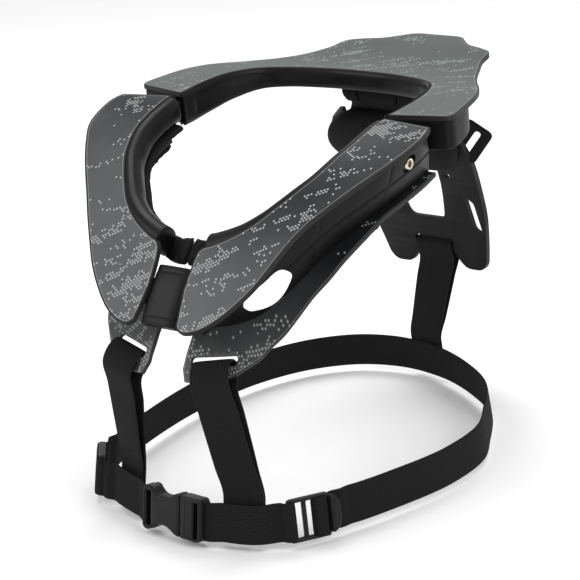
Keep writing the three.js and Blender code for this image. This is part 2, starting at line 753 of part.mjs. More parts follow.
// A slotted ear on the back plate's shoulder, turned outwards and back.
function sideBracket() {
  const at = v3(0.982 * BACK_HALF, 0.749 * REAR_REACH, -0.327 * BACK_DROP);
  const frame = frameAt(at, v3(0.51, -0.78, 0.12), v3(0.71, 0.38, -0.59));
  const rim = rectangle(0.386 * BACK_HALF, 0.456 * BACK_HALF, 4);
  const ear = placed(plateOf(rim, [rectangle(0.088 * BACK_HALF, 0.298 * BACK_HALF, 2.2, 1, 0)], BRACKET_WALL), frame);
  const room = backSlab(-GAP, 3 * BACK_WALL, BACK_HALF + GAP, BACK_TOP, -BACK_DROP, 18);
  return cut(ear, room);
}

// A socket-head bolt sunk in the arm body's outer wall.
const BOLT_AT = v3(0.93 * HALF_WIDTH, -0.205 * FRONT_REACH, -0.18 * FRONT_DROP);

function sideBolt() {
  const head = new THREE.CylinderGeometry(BOLT_RADIUS, BOLT_RADIUS, 5, 18);
  const socket = new THREE.CylinderGeometry(0.52 * BOLT_RADIUS, 0.52 * BOLT_RADIUS, 4, 6);
  const bolt = cut(head, socket.translate(0, 2.5, 0));
  return bolt.rotateZ(-Math.PI / 2).translate(BOLT_AT.x, BOLT_AT.y, BOLT_AT.z);
}

function boltBore() {
  const bore = new THREE.CylinderGeometry(BOLT_RADIUS + 1.5, BOLT_RADIUS + 1.5, 26, 18);
  return bore.rotateZ(Math.PI / 2).translate(BOLT_AT.x + 13 - 2.5 - GAP, BOLT_AT.y, BOLT_AT.z);
}

// Webbing

// The belt's course seen from above, from the buckle round by the wearer's left.
const BELT_COURSE = [
  { x: 0.05, y: -1.0 },
  { x: 0.33, y: -0.99 },
  { x: 0.56, y: -0.925 },
  { x: 0.66, y: -0.8 },
  { x: 0.79, y: -0.62 },
  { x: 0.9, y: -0.37 },
  { x: 0.98, y: -0.08 },
  { x: 0.96, y: 0.2 },
  { x: 0.84, y: 0.4 },
  { x: 0.64, y: 0.66 },
  { x: 0.38, y: 0.83 },
  { x: 0.0, y: 0.975 },
  { x: -0.3, y: 1.0 },
  { x: -0.56, y: 0.93 },
  { x: -0.76, y: 0.77 },
  { x: -0.9, y: 0.52 },
  { x: -0.95, y: 0.12 },
  { x: -0.9, y: -0.3 },
  { x: -0.8, y: -0.64 },
  { x: -0.62, y: -0.82 },
  { x: -0.3, y: -0.94 },
];
const BELT_LINE = new THREE.CatmullRomCurve3(
  BELT_COURSE.map(({ x, y }) =>
    v3(x * BELT_HALF_WIDTH, BELT_BACK + y * BELT_HALF_DEPTH, -BELT_DROP),
  ),
  true,
);
BELT_LINE.arcLengthDivisions = 600;
const BELT_LENGTH = BELT_LINE.getLength();

// A frame on the belt at a share of its length, moved outwards by lift.
function beltFrame(share, lift = 0) {
  const u = ((share % 1) + 1) % 1;
  const along = BELT_LINE.getTangentAt(u);
  const away = v3(along.y, -along.x, 0).normalize();
  const out = away.clone().add(v3(0, 0, BELT_FLARE)).normalize();
  const at = BELT_LINE.getPointAt(u).addScaledVector(out, lift);
  return frameAt(at, out, along);
}

// The share of the belt's length nearest to a place seen from above.
function beltShare(x, y) {
  let best = 0;
  let nearest = Infinity;
  for (let i = 0; i < 600; i++) {
    const p = BELT_LINE.getPointAt(i / 600);
    const away = Math.hypot(p.x - x, p.y - y);
    if (away < nearest) {
      nearest = away;
      best = i / 600;
    }
  }
  return best > 0.5 ? best - 1 : best;
}

// A strip of webbing through frames, its width along each frame's up.
function strip(frames, width, wall = WEB_WALL) {
  const loops = frames.map(({ at, up, out }) => {
    const corner = (w, t) =>
      at
        .clone()
        .addScaledVector(up, (w * width) / 2)
        .addScaledVector(out, (t * wall) / 2);
    return [corner(-1, 1), corner(1, 1), corner(1, -1), corner(-1, -1)];
  });
  return loft(loops);
}

// A double strap that runs through a slot and back, its two ends on one side of the belt. side
// is 1 outside the belt and -1 inside it. wall is the thickness of the plate with the slot.
function doubleStrap({ slot, share, side, width, wall, play }) {
  const { at, across, up, out } = slot;
  const down = up.clone().negate();
  const clear = WEB_WALL / 2 + play;
  const inSlot = (d, n) => at.clone().addScaledVector(down, d).addScaledVector(out, n);
  const onBelt = (layer, lower) => {
    const lift = side * (layer * (WEB_WALL + GAP) + play - GAP);
    const frame = beltFrame(share, lift);
    return frame.at.clone().addScaledVector(frame.up, lower * BELT_WIDTH * 0.5);
  };
  const outer = side > 0 ? 2 : 1;
  const inner = side > 0 ? 1 : 2;
  const beltWay = beltFrame(share).across.clone();
  if (beltWay.dot(across) < 0) beltWay.negate();
  const route = [
    { p: onBelt(outer, -0.9), w: 1 },
    { p: onBelt(outer, 0), w: 1 },
    { p: onBelt(outer, 1.1), w: 1 },
    { p: inSlot(30, clear).lerp(onBelt(outer, 1.1), 0.35), w: 0.5 },
    { p: inSlot(17, clear), w: 0.1 },
    { p: inSlot(5, clear), w: 0 },
    { p: inSlot(0.8, clear * 0.4), w: 0 },
    { p: inSlot(0, -wall / 2), w: 0 },
    { p: inSlot(0.8, -wall - clear * 0.4), w: 0 },
    { p: inSlot(5, -wall - clear), w: 0 },
    { p: inSlot(17, -wall - clear), w: 0.1 },
    { p: inSlot(30, -wall - clear).lerp(onBelt(inner, 1.1), 0.35), w: 0.5 },
    { p: onBelt(inner, 1.1), w: 1 },
    { p: onBelt(inner, 0), w: 1 },
    { p: onBelt(inner, -0.9), w: 1 },
  ];
  const curve = new THREE.CatmullRomCurve3(
    route.map((stop) => stop.p),
    false,
    "centripetal",
  );
  const spans = route.length - 1;
  const frames = steps(0, 1, spans * 3).map((t) => {
    const k = Math.min(Math.floor(t * spans), spans - 1);
    const w = mix(route[k].w, route[k + 1].w, t * spans - k);
    const way = across.clone().lerp(beltWay, w).normalize();
    const along = curve.getTangent(t);
    return { at: curve.getPoint(t), up: way, out: along.clone().cross(way).normalize() };
  });
  return strip(frames, width);
}

// Fittings on the belt

// A frame of moulded plastic with windows that the webbing runs through.
function adjuster() {
  const length = ADJUSTER_LENGTH;
  const height = FITTING_HEIGHT;
  const window = height - 6;
  return plateOf(
    rectangle(length, height, 5),
    [
      rectangle(0.15 * length, window, 1.5, -0.3 * length),
      rectangle(0.15 * length, window, 1.5, -0.05 * length),
    ],
    ADJUSTER_DEPTH,
  );
}

// The room that a belt end needs at the end of a buckle half: a channel and a cross slot.
function beltMouth(end, way) {
  const channel = new THREE.BoxGeometry(16, BELT_WIDTH + 1, WEB_WALL + 3 * GAP);
  const slot = new THREE.BoxGeometry(4, BELT_WIDTH + 1, 2 * BUCKLE_DEPTH);
  return [channel.translate(end, 0, 0), slot.translate(end - way * 6, 0, 0)];
}

const SOCKET_END = -0.5 * BUCKLE_LENGTH;
const PLUG_END = 0.5 * BUCKLE_LENGTH;
const PARTING = 0.14 * BUCKLE_LENGTH; // where the socket ends and the plug's shoulder starts

function buckleSocket() {
  const length = PARTING - SOCKET_END;
  const middle = (PARTING + SOCKET_END) / 2;
  const height = FITTING_HEIGHT;
  const rim = rectangle(length, height, 5, middle);
  const room = new THREE.BoxGeometry(0.7 * length, 0.7 * height, 0.5 * BUCKLE_DEPTH);
  const notch = new THREE.BoxGeometry(0.3 * length, 6, 0.6 * BUCKLE_DEPTH);
  return cut(
    plateOf(rim, [], BUCKLE_DEPTH),
    room.translate(PARTING - 0.35 * length + 1, 0, 0),
    notch.clone().translate(middle, height / 2, 0),
    notch.translate(middle, -height / 2, 0),
    ...beltMouth(SOCKET_END, -1),
  );
}

function bucklePlug() {
  const height = FITTING_HEIGHT;
  const start = PARTING + GAP;
  const rim = rectangle(PLUG_END - start, height, 3, (start + PLUG_END) / 2);
  const tongue = new THREE.BoxGeometry(20, 0.7 * height - 1, 0.5 * BUCKLE_DEPTH - 1);
  const body = join(plateOf(rim, [], BUCKLE_DEPTH), tongue.translate(start - 9, 0, 0));
  return cut(body, ...beltMouth(PLUG_END, 1));
}

const group = new THREE.Group();

// Adds a named piece with its colour, roughness and metalness.
function add(name, geometry, color, roughness = 0.7, metalness = 0) {
  const material = new THREE.MeshStandardMaterial({ color, roughness, metalness });
  const mesh = new THREE.Mesh(geometry, material);
  mesh.name = name;
  group.add(mesh);
}

// Adds a piece of the wearer's left and its mirror image.
function addPair(name, geometry, color, roughness, metalness) {
  add(`${name}_left`, geometry, color, roughness, metalness);
  add(`${name}_right`, mirrored(geometry), color, roughness, metalness);
}

const PRINT = "#5c6361";
const BLACK = "#1b1c1d";
const SOFT = "#151515";
const WEB = "#121212";
const STEEL = "#b5afa5";

addPair("arm_plate", armPlate(), PRINT, 0.5);
addPair("arm_body", cut(armBody(), boltBore()), BLACK);
addPair("arm_bumper", armBumper(), SOFT);
addPair("arm_pad", armPad(), SOFT);
addPair("chest_plate", chestPlate(), PRINT, 0.5);
addPair("chest_pad", chestPad(), SOFT);
addPair("gap_edge", gapEdge(), "#5a1018");
addPair("side_bolt", sideBolt(), STEEL, 0.3, 1);
add("front_joiner", frontJoiner(), SOFT);
add("rear_platform", rearPlatform(), PRINT, 0.5);
add("rear_body", rearBody(), BLACK);
add("rear_bumper", rearBumper(), SOFT);
add("back_plate", backPlate(), BLACK);
add("back_pad", backPad(), SOFT);
const padSeam = 0.55;
add("rear_pad_middle", rearPad(-padSeam + 0.01, padSeam - 0.01), SOFT);
add("rear_pad_left", rearPad(padSeam + 0.01, 1), SOFT);
add("rear_pad_right", rearPad(-1, -padSeam - 0.01), SOFT);
addPair("side_bracket", sideBracket(), BLACK);

const buckleAt = beltShare(0.04 * BELT_HALF_WIDTH, BELT_BACK - BELT_HALF_DEPTH);
const adjusterX = 0.74 * BELT_HALF_WIDTH;
const adjusterY = BELT_BACK - 0.78 * BELT_HALF_DEPTH;
const leftAt = beltShare(adjusterX, adjusterY);
const rightAt = beltShare(-adjusterX, adjusterY);
const OVER_BELT = (WEB_WALL + ADJUSTER_DEPTH) / 2 + 0.9;
add("adjuster_left", placed(adjuster(), beltFrame(leftAt, OVER_BELT)), BLACK, 0.4);
const turned = adjuster().rotateZ(Math.PI);
add("adjuster_right", placed(turned, beltFrame(rightAt, OVER_BELT)), BLACK, 0.4);
const buckleFrame = beltFrame(buckleAt);
add("buckle_socket", placed(buckleSocket(), buckleFrame), BLACK, 0.4);
add("buckle_plug", placed(bucklePlug(), buckleFrame), BLACK, 0.4);

// A place along the buckle's own straight line.
function onBuckle(x) {
  const frame = beltFrame(buckleAt);
  return { ...frame, at: frame.at.addScaledVector(frame.across, x) };
}

const belt = (frames) => strip(frames, BELT_WIDTH);
const seam = 0.4 / BELT_LENGTH;
const clearOfBuckle = (0.5 * BUCKLE_LENGTH + 12) / BELT_LENGTH;
const frames = (from, to) => steps(from, to, Math.round(Math.abs(to - from) * 70)).map((u) => beltFrame(u));
add("belt_rear", belt(frames(leftAt + seam, rightAt + 1 - seam)), WEB, 0.9);
add(
  "belt_front_left",
  belt([
    onBuckle(PLUG_END - 6),
    onBuckle(PLUG_END + 2),
    ...frames(buckleAt + clearOfBuckle, leftAt - seam),
  ]),
  WEB,
  0.9,
);
add(
  "belt_front_right",
  belt([
    ...frames(rightAt + seam, buckleAt - clearOfBuckle),
    onBuckle(SOCKET_END - 2),
    onBuckle(SOCKET_END + 6),
  ]),
  WEB,
  0.9,
);

// The front strap of one side: 1 is the wearer's left and -1 the right.
function frontStrap(side) {
  const { at, out, across } = FRONT_SLOT;
  const slot = frameAt(
    v3(side * at.x, at.y, at.z),
    v3(side * out.x, out.y, out.z),
    v3(across.x, side * across.y, side * across.z),
  );
  const share = beltShare(side * 0.46 * BELT_HALF_WIDTH, BELT_BACK - BELT_HALF_DEPTH);
  return doubleStrap({
    slot,
    share,
    side: -1,
    width: FRONT_STRAP_WIDTH,
    wall: CHEST_WALL,
    play: FRONT_PLAY,
  });
}

add("front_strap_left", frontStrap(1), WEB, 0.9);
add("front_strap_right", frontStrap(-1), WEB, 0.9);
const rearStrap = doubleStrap({
  slot: REAR_SLOT,
  share: beltShare(-0.08 * BELT_HALF_WIDTH, BELT_BACK + BELT_HALF_DEPTH),
  side: 1,
  width: REAR_STRAP_WIDTH,
  wall: BACK_WALL,
  play: REAR_PLAY,
});
add("rear_strap", rearStrap, WEB, 0.9);

export default group;
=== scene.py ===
"""Neck brace for off-road riding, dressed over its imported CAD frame.

Lengths in the tables are millimetres in the part's own axes: +X is the wearer's left, -Y the
wearer's front and +Z up. Meshes are written in metres.
"""

import logging
import math
from dataclasses import dataclass, field
from enum import Enum
from functools import cache, partialmethod
from typing import Optional, Sequence

import bmesh
import bpy
import numpy as np
from mathutils import Matrix, Vector


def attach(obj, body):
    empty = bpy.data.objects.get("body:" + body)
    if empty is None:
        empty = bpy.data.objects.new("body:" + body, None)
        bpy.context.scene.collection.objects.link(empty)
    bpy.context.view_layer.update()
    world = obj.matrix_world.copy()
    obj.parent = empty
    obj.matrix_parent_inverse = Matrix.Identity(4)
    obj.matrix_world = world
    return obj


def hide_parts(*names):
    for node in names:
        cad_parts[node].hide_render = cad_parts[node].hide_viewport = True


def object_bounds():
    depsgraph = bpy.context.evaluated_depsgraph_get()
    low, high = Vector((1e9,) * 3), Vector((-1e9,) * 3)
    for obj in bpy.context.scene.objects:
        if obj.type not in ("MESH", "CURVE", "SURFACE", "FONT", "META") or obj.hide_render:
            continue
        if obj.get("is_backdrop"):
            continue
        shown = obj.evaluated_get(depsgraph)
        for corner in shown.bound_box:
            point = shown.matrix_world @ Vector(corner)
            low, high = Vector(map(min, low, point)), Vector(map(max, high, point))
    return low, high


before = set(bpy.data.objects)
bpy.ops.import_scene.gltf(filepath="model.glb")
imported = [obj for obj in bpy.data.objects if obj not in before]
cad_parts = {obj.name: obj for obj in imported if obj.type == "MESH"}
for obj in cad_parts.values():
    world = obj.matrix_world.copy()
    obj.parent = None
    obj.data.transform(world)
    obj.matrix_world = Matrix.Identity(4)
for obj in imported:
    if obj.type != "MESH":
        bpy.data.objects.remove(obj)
CAD_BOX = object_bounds()
LOG = logging.getLogger("neck_brace")
MM = 0.001
PHOTO_PX = 580
SENSOR_MM = 36
PLATE_WALL = 3.2
SEAL = 0.1
RIM_INSET = 4.0
CLOTH_FRAMES = 20
CLOTH_PRESSURE = 4.0
Array = np.ndarray


class Side(Enum):
    """The wearer's left and right, as the sign of X."""

    LEFT = 1
    RIGHT = -1

    @property
    def word(self) -> str:
        """The side's word in piece names."""
        return self.name.lower()


# Curves and grids


def unit(vectors: Array) -> Array:
    """Vectors scaled to length one, over the last axis."""
    return vectors / np.maximum(np.linalg.norm(vectors, axis=-1, keepdims=True), 1e-9)


def arc_length(points: Array) -> Array:
    """The length along a line of points, up to each of them."""
    return np.concatenate([[0], np.cumsum(np.linalg.norm(np.diff(points, axis=0), axis=1))])


def hermite(t: Array, span: Array, ends: tuple, slopes: tuple) -> Array:
    """A cubic at shares t of a span L: h00 p0 + h01 p1 + L (h10 m0 + h11 m1)."""
    u = 1 - t
    level = u * u * (1 + 2 * t) * ends[0] + t * t * (3 - 2 * t) * ends[1]
    return level + span * (t * u * u * slopes[0] - t * t * u * slopes[1])


def smooth(points: Sequence, count: int, closed: bool = False) -> Array:
    """A smooth curve through points, evenly spaced along its chord length.

    Each span is a cubic whose end slopes are those between the neighbours on both sides.

    Args:
        points: rows of coordinates.
        count: how many points come back.
        closed: whether the curve runs on from the last point to the first.

    Returns:
        An array of count rows.
    """
    p = np.asarray(points, float)
    if closed:
        p = np.vstack([p[-2:], p, p[:3]])
    chord = arc_length(p)
    slope = np.gradient(p, chord, axis=0)
    lo, hi = (chord[2], chord[-3]) if closed else (chord[0], chord[-1])
    at = np.linspace(lo, hi, count, endpoint=not closed)
    k = np.clip(np.searchsorted(chord, at, side="right") - 1, 0, len(p) - 2)
    span = (chord[k + 1] - chord[k])[:, None]
    t = (at[:, None] - chord[k][:, None]) / span
    return hermite(t, span, (p[k], p[k + 1]), (slope[k], slope[k + 1]))


def slab_loops(top: Array, bottom: Array) -> Array:
    """Closed loops round slab sections, the top left to right and the bottom back.

    Args:
        top: sections by points by xyz.
        bottom: the same for the lower face.

    Returns:
        The loops, sections by twice the points by xyz.
    """
    return np.concatenate([top, bottom[:, ::-1]], axis=1)


def rounded_ends(loops: Array, reach: float, rings: int = 4) -> Array:
    """Closes both ends of a swept form with domes.

    A dome's ring at angle a is centre + (loop - centre) cos a + way * reach * sin a.

    Args:
        loops: sections by points by xyz.
        reach: how far a dome stands out.
        rings: rings on each dome.

    Returns:
        The loops with the domes' rings added.
    """
    angles = np.linspace(0, 0.47 * math.pi, rings + 1)[1:][:, None, None]

    def dome(end: Array, way: Array) -> Array:
        """Rings that close one end towards way."""
        centre = end.mean(0)
        return centre + (end - centre) * np.cos(angles) + way * reach * np.sin(angles)

    first = dome(loops[0], unit(loops[0].mean(0) - loops[1].mean(0)))[::-1]
    last = dome(loops[-1], unit(loops[-1].mean(0) - loops[-2].mean(0)))
    return np.concatenate([first, loops, last])


def linked(name: str, data):
    """A new object around data, linked to the scene."""
    thing = bpy.data.objects.new(name, data)
    bpy.context.scene.collection.objects.link(thing)
    return thing


def round_shading(mesh, sharp: float = 0.0) -> None:
    """Shades a mesh smoothly, and keeps edges above sharp degrees if that is given."""
    mesh.polygons.foreach_set("use_smooth", np.ones(len(mesh.polygons), bool))
    if sharp:
        mesh.set_sharp_from_angle(angle=math.radians(sharp))


def points_of(thing) -> Array:
    """A mesh object's points as rows, in metres."""
    flat = np.empty(len(thing.data.vertices) * 3)
    thing.data.vertices.foreach_get("co", flat)
    return flat.reshape(-1, 3)


def store(thing, name: str, values: Array) -> None:
    """Stores a number for each point of a mesh object."""
    layer = thing.data.attributes.new(name, "FLOAT", "POINT")
    layer.data.foreach_set("value", values.astype(np.float32))


def grid_mesh(name: str, loops: Array, uv: Optional[Array] = None):
    """A closed mesh from loops of points: quads between loops, rungs across the two ends.

    Args:
        name: the mesh object's name.
        loops: sections by points by xyz in millimetres.
        uv: a UV for every grid point, sections by points by two.

    Returns:
        The object, linked to the scene.
    """
    m, n = loops.shape[:2]
    j = np.arange(n)[None, :]
    a = np.arange(m - 1)[:, None] * n + j
    b = a - j + (j + 1) % n
    k = np.arange(n // 2 - 1)
    near = np.stack([k, n - 1 - k, n - 2 - k, k + 1], -1)
    sides = np.stack([a, b, b + n, a + n], -1).reshape(-1, 4)
    quads = np.concatenate([sides, near, near[:, ::-1] + (m - 1) * n])
    flat = loops.reshape(-1, 3)
    p = flat[quads]
    volume = np.einsum("ij,ij->i", p[:, 0], np.cross(p[:, 1], p[:, 2])).sum()
    volume += np.einsum("ij,ij->i", p[:, 0], np.cross(p[:, 2], p[:, 3])).sum()
    if volume < 0:
        quads = quads[:, ::-1]
    mesh = bpy.data.meshes.new(name)
    mesh.from_pydata(flat * MM, [], quads)
    round_shading(mesh)
    if uv is not None:
        layer = mesh.uv_layers.new(name="Weave")
        layer.data.foreach_set("uv", uv.reshape(-1, 2)[quads].astype(np.float32).ravel())
    mesh.update()
    return linked(name, mesh)


def soften(thing, width: float = 0.0, segments: int = 3, angle: float = 35.0):
    """Rounds the sharp edges of a mesh object.

    Args:
        thing: the object.
        width: bevel width in millimetres, or nothing for shading alone.
        segments: steps across a bevel.
        angle: edges sharper than this many degrees are rounded.

    Returns:
        The same object.
    """
    if width:
        bevel = thing.modifiers.new("edge", "BEVEL")
        bevel.width = width * MM
        bevel.segments = segments
        bevel.limit_method = "ANGLE"
        bevel.angle_limit = math.radians(angle)
        bevel.harden_normals = True
    else:
        thing.data.set_sharp_from_angle(angle=math.radians(angle))
    return thing


def cut_with(thing, tool) -> None:
    """Cuts tool out of thing and removes the tool."""
    cut = thing.modifiers.new("cut", "BOOLEAN")
    cut.object = tool
    cut.solver = "EXACT"
    bake(thing)
    bpy.data.objects.remove(tool)


def bake(thing) -> None:
    """Applies every modifier of a mesh object."""
    graph = bpy.context.evaluated_depsgraph_get()
    graph.update()
    mesh = bpy.data.meshes.new_from_object(thing.evaluated_get(graph))
    thing.modifiers.clear()
    thing.data = mesh


def rounded_outline(corners: Sequence, steps: int = 6) -> Array:
    """A closed outline with rounded corners, from rows of x, y and radius.

    A corner is the quadratic curve u^2 a + 2 u t c + t^2 b between its two pulled points.
    """
    rows = np.asarray(corners, float)
    at, r = rows[:, :2], rows[:, 2:3]
    before, after = np.roll(at, 1, 0) - at, np.roll(at, -1, 0) - at
    pull = [
        at + unit(w) * np.minimum(r, 0.48 * np.linalg.norm(w, axis=1, keepdims=True))
        for w in (before, after)
    ]
    t = np.linspace(0, 1, steps + 1)[None, :, None]
    a, c, b = pull[0][:, None], at[:, None], pull[1][:, None]
    return ((1 - t) ** 2 * a + 2 * t * (1 - t) * c + t**2 * b).reshape(-1, 2)


def box_outline(width: float, height: float, r: float, x: float = 0.0, y: float = 0.0) -> Array:
    """A rounded rectangle's outline about (x, y)."""
    w, h = width / 2, height / 2
    corners = ((-w, -h), (w, -h), (w, h), (-w, h))
    return rounded_outline([(x + dx, y + dy, r) for dx, dy in corners])


def moulding(name: str, outlines: Sequence[Array], depth: float, edge: float):
    """A flat moulded form with rounded rims: the first outline is its rim, the rest its holes.

    Args:
        name: the object's name.
        outlines: closed outlines in millimetres.
        depth: its thickness, half to each side of local z = 0.
        edge: how far its rims are rounded.

    Returns:
        A mesh object in local axes.
    """
    curve = bpy.data.curves.new(name, "CURVE")
    curve.dimensions = "2D"
    curve.fill_mode = "BOTH"
    curve.extrude = (depth / 2 - edge) * MM
    curve.bevel_depth = edge * MM
    curve.offset = -edge * MM
    curve.bevel_resolution = 3
    for number, outline in enumerate(outlines):
        x, y = outline.T
        area = (x * np.roll(y, -1) - y * np.roll(x, -1)).sum()
        if (area > 0) != (number == 0):
            outline = outline[::-1]
        spline = curve.splines.new("POLY")
        spline.points.add(len(outline) - 1)
        flat = np.c_[outline * MM, np.zeros(len(outline)), np.ones(len(outline))]
        spline.points.foreach_set("co", flat.ravel())
        spline.use_cyclic_u = True
    holder = linked(name, curve)
    graph = bpy.context.evaluated_depsgraph_get()
    mesh = bpy.data.meshes.new_from_object(holder.evaluated_get(graph))
    bpy.data.objects.remove(holder)
    thing = linked(name, mesh)
    merge(thing)
    round_shading(mesh, 30)
    return thing


def merge(thing, distance: float = 0.01) -> None:
    """Joins a mesh's doubled points, in millimetres, and turns its faces outwards."""
    work = bmesh.new()
    work.from_mesh(thing.data)
    bmesh.ops.remove_doubles(work, verts=work.verts, dist=distance * MM)
    bmesh.ops.recalc_face_normals(work, faces=work.faces)
    work.to_mesh(thing.data)
    work.free()


@dataclass
class Frame:
    """A place with three square axes, in millimetres."""

    at: Array
    across: Array
    up: Array
    out: Array

    @classmethod
    def looking(cls, at: Sequence, out: Sequence, across: Sequence) -> "Frame":
        """A frame from its face's way and its width's way."""
        x = unit(np.asarray(across, float))
        z = np.asarray(out, float)
        z = unit(z - x * (z @ x))
        return cls(np.asarray(at, float), x, np.cross(z, x), z)

    def put(self, thing):
        """Moves a mesh object's points from local axes into place."""
        turn = np.stack([self.across, self.up, self.out], 1)
        matrix = Matrix(np.r_[np.c_[turn, self.at * MM], [[0, 0, 0, 1]]].tolist())
        thing.data.transform(matrix)
        return thing

    def place(self, x, y, z) -> Array:
        """Points from local coordinates."""
        x, y, z = (np.asarray(v, float)[..., None] for v in np.broadcast_arrays(x, y, z))
        return self.at + x * self.across + y * self.up + z * self.out

    def mirrored(self, side: Side) -> "Frame":
        """The same frame on the given side of the body."""
        flip = np.array([side.value, 1, 1])
        return Frame.looking(self.at * flip, self.out * flip, self.across * flip * side.value)


# The plates' shared profile


@dataclass
class Drape:
    """The side profile that all the plates follow: reach y against height z."""

    knots: Sequence = (
        (-160, -120), (-150, -111), (-142, -100.5), (-134, -89.2), (-126, -78), (-118, -66),
        (-110, -54.9), (-101, -45), (-90, -35.5), (-80, -27.8), (-68, -20), (-55, -12.8),
        (-36, -5.8), (-18, -0.6), (10, 2.3), (30, 4), (49, 5.2), (68, 5.3), (90, 4),
        (115, 2.8), (132, 2.9), (152, 4.8), (170, 7.2), (199, 9.2),
    )

    def height(self, y: Array) -> Array:
        """Height of the plates' top face at reach y, by cubic Hermite pieces."""
        knot = np.asarray(self.knots, float)
        slope = np.gradient(knot[:, 1], knot[:, 0])
        k = np.clip(np.searchsorted(knot[:, 0], y) - 1, 0, len(knot) - 2)
        span = knot[k + 1, 0] - knot[k, 0]
        t = np.clip((y - knot[k, 0]) / span, 0, 1)
        return hermite(t, span, (knot[k, 1], knot[k + 1, 1]), (slope[k], slope[k + 1]))

    def put(self, x: Array, y: Array, h) -> Array:
        """Points h above the face over (x, y), square to it: p = (x, y, g) + h n."""
        slope = self.height(y + 0.5) - self.height(y - 0.5)
        long = np.hypot(1, slope)
        return np.stack([x + 0 * y, y - h * slope / long, self.height(y) + h / long], -1)


DRAPE = Drape()


@dataclass
class Rail:
    """Matching dense edges of a plate: its neck side and its outer side, seen from above."""

    inner: Array
    outer: Array

    @classmethod
    def through(cls, rows: Sequence, count: int) -> "Rail":
        """Smooth edges through rows of inner x, inner y, outer x, outer y."""
        both = smooth(rows, count)
        return cls(both[:, :2], both[:, 2:4])

    @property
    def across(self) -> Array:
        """Unit ways from the neck side to the outer side."""
        return unit(self.outer - self.inner)

    @property
    def inward(self) -> Array:
        """Unit ways square to the neck-side edge, into the opening."""
        along = unit(np.gradient(self.inner, axis=0))
        square = np.stack([along[:, 1], -along[:, 0]], -1)
        flip = np.sign((square * self.across).sum(1, keepdims=True))
        return -square * flip

    @property
    def lean(self) -> Array:
        """How square each section meets the neck-side edge."""
        return np.maximum(-(self.inward * self.across).sum(1), 0.35)

    def row(self, h, count: int, near=0.0, far=0.0, crowd: bool = False) -> Array:
        """Points across every section at height h, drawn in from the edges.

        Args:
            h: height over the plates' face.
            count: points across.
            near: inset from the neck-side edge, square to it.
            far: inset from the outer edge.
            crowd: whether the points gather near the edges.

        Returns:
            Sections by points by xyz.
        """
        width = np.linalg.norm(self.outer - self.inner, axis=1)
        start = (np.asarray(near) / self.lean / width)[:, None]
        stop = 1 - (np.asarray(far) / width)[:, None]
        t = np.linspace(0, 1, count)
        if crowd:
            t = 0.5 - 0.5 * np.cos(math.pi * t)
        share = start + (stop - start) * t[None, :]
        flat = self.inner[:, None] + (self.outer - self.inner)[:, None] * share[..., None]
        depth = np.asarray(h, float)
        depth = depth[:, None] if depth.ndim else depth
        return DRAPE.put(flat[..., 0], flat[..., 1], depth)

    def rim(self, profile: Array) -> Array:
        """A rim along the neck-side edge.

        Args:
            profile: rows of reach into the opening and height over the face, or one such
                set of rows for every section.

        Returns:
            Loops, sections by profile rows by xyz.
        """
        reach, h = np.broadcast_arrays(profile[..., 0], profile[..., 1])
        if reach.ndim == 1:
            reach = np.broadcast_to(reach, (len(self.inner), len(reach)))
            h = np.broadcast_to(h, reach.shape)
        out = np.maximum(reach, 0)[..., None] * self.inward[:, None]
        back = (np.maximum(-reach, 0) / self.lean[:, None])[..., None] * self.across[:, None]
        flat = self.inner[:, None] + out + back
        return DRAPE.put(flat[..., 0], flat[..., 1], h)

    def cropped(self, start: int, stop: int) -> "Rail":
        """The stretch of sections from start to stop."""
        return Rail(self.inner[start:stop], self.outer[start:stop])


def print_way(thing, origin: Sequence = (0.0, 0.0), course: Optional[Array] = None) -> None:
    """Stores coordinates that follow a plate's slope, in millimetres, as print_u and print_v.

    u is x and v is the length of the side profile from the front to the point's y.

    Args:
        thing: the mesh object.
        origin: shifts of u and v.
        course: rows of y and z along the plate, front first, in place of the shared profile.
    """
    co = points_of(thing) / MM
    if course is None:
        y = np.linspace(-165, 205, 741)
        course = np.stack([y, DRAPE.height(y)], -1)
    store(thing, "print_u", co[:, 0] + origin[0])
    store(thing, "print_v", np.interp(co[:, 1], course[:, 0], arc_length(course)) + origin[1])


def edge_distance(thing, top: Array) -> None:
    """Stores each point's distance to the top face's rim, in millimetres, as edge_mm.

    Args:
        thing: a slab's mesh object.
        top: its top face's points, sections by points by xyz; the lower face gets nought.
    """
    rim = np.concatenate([top[:, 0], top[-1], top[::-1, -1], top[0, ::-1]])
    sections, around = top.shape[0], 2 * top.shape[1]
    co = points_of(thing) / MM
    near = np.full(len(co), 99.0)
    for part in np.array_split(rim, max(1, len(rim) // 200)):
        near = np.minimum(near, np.sqrt(((co[:, None] - part[None]) ** 2).sum(-1)).min(1))
    below = np.zeros(len(co), bool)
    below[: sections * around] = np.tile(np.arange(around) >= around // 2, sections)
    near[below] = 0.0
    store(thing, "edge_mm", near)


# Materials


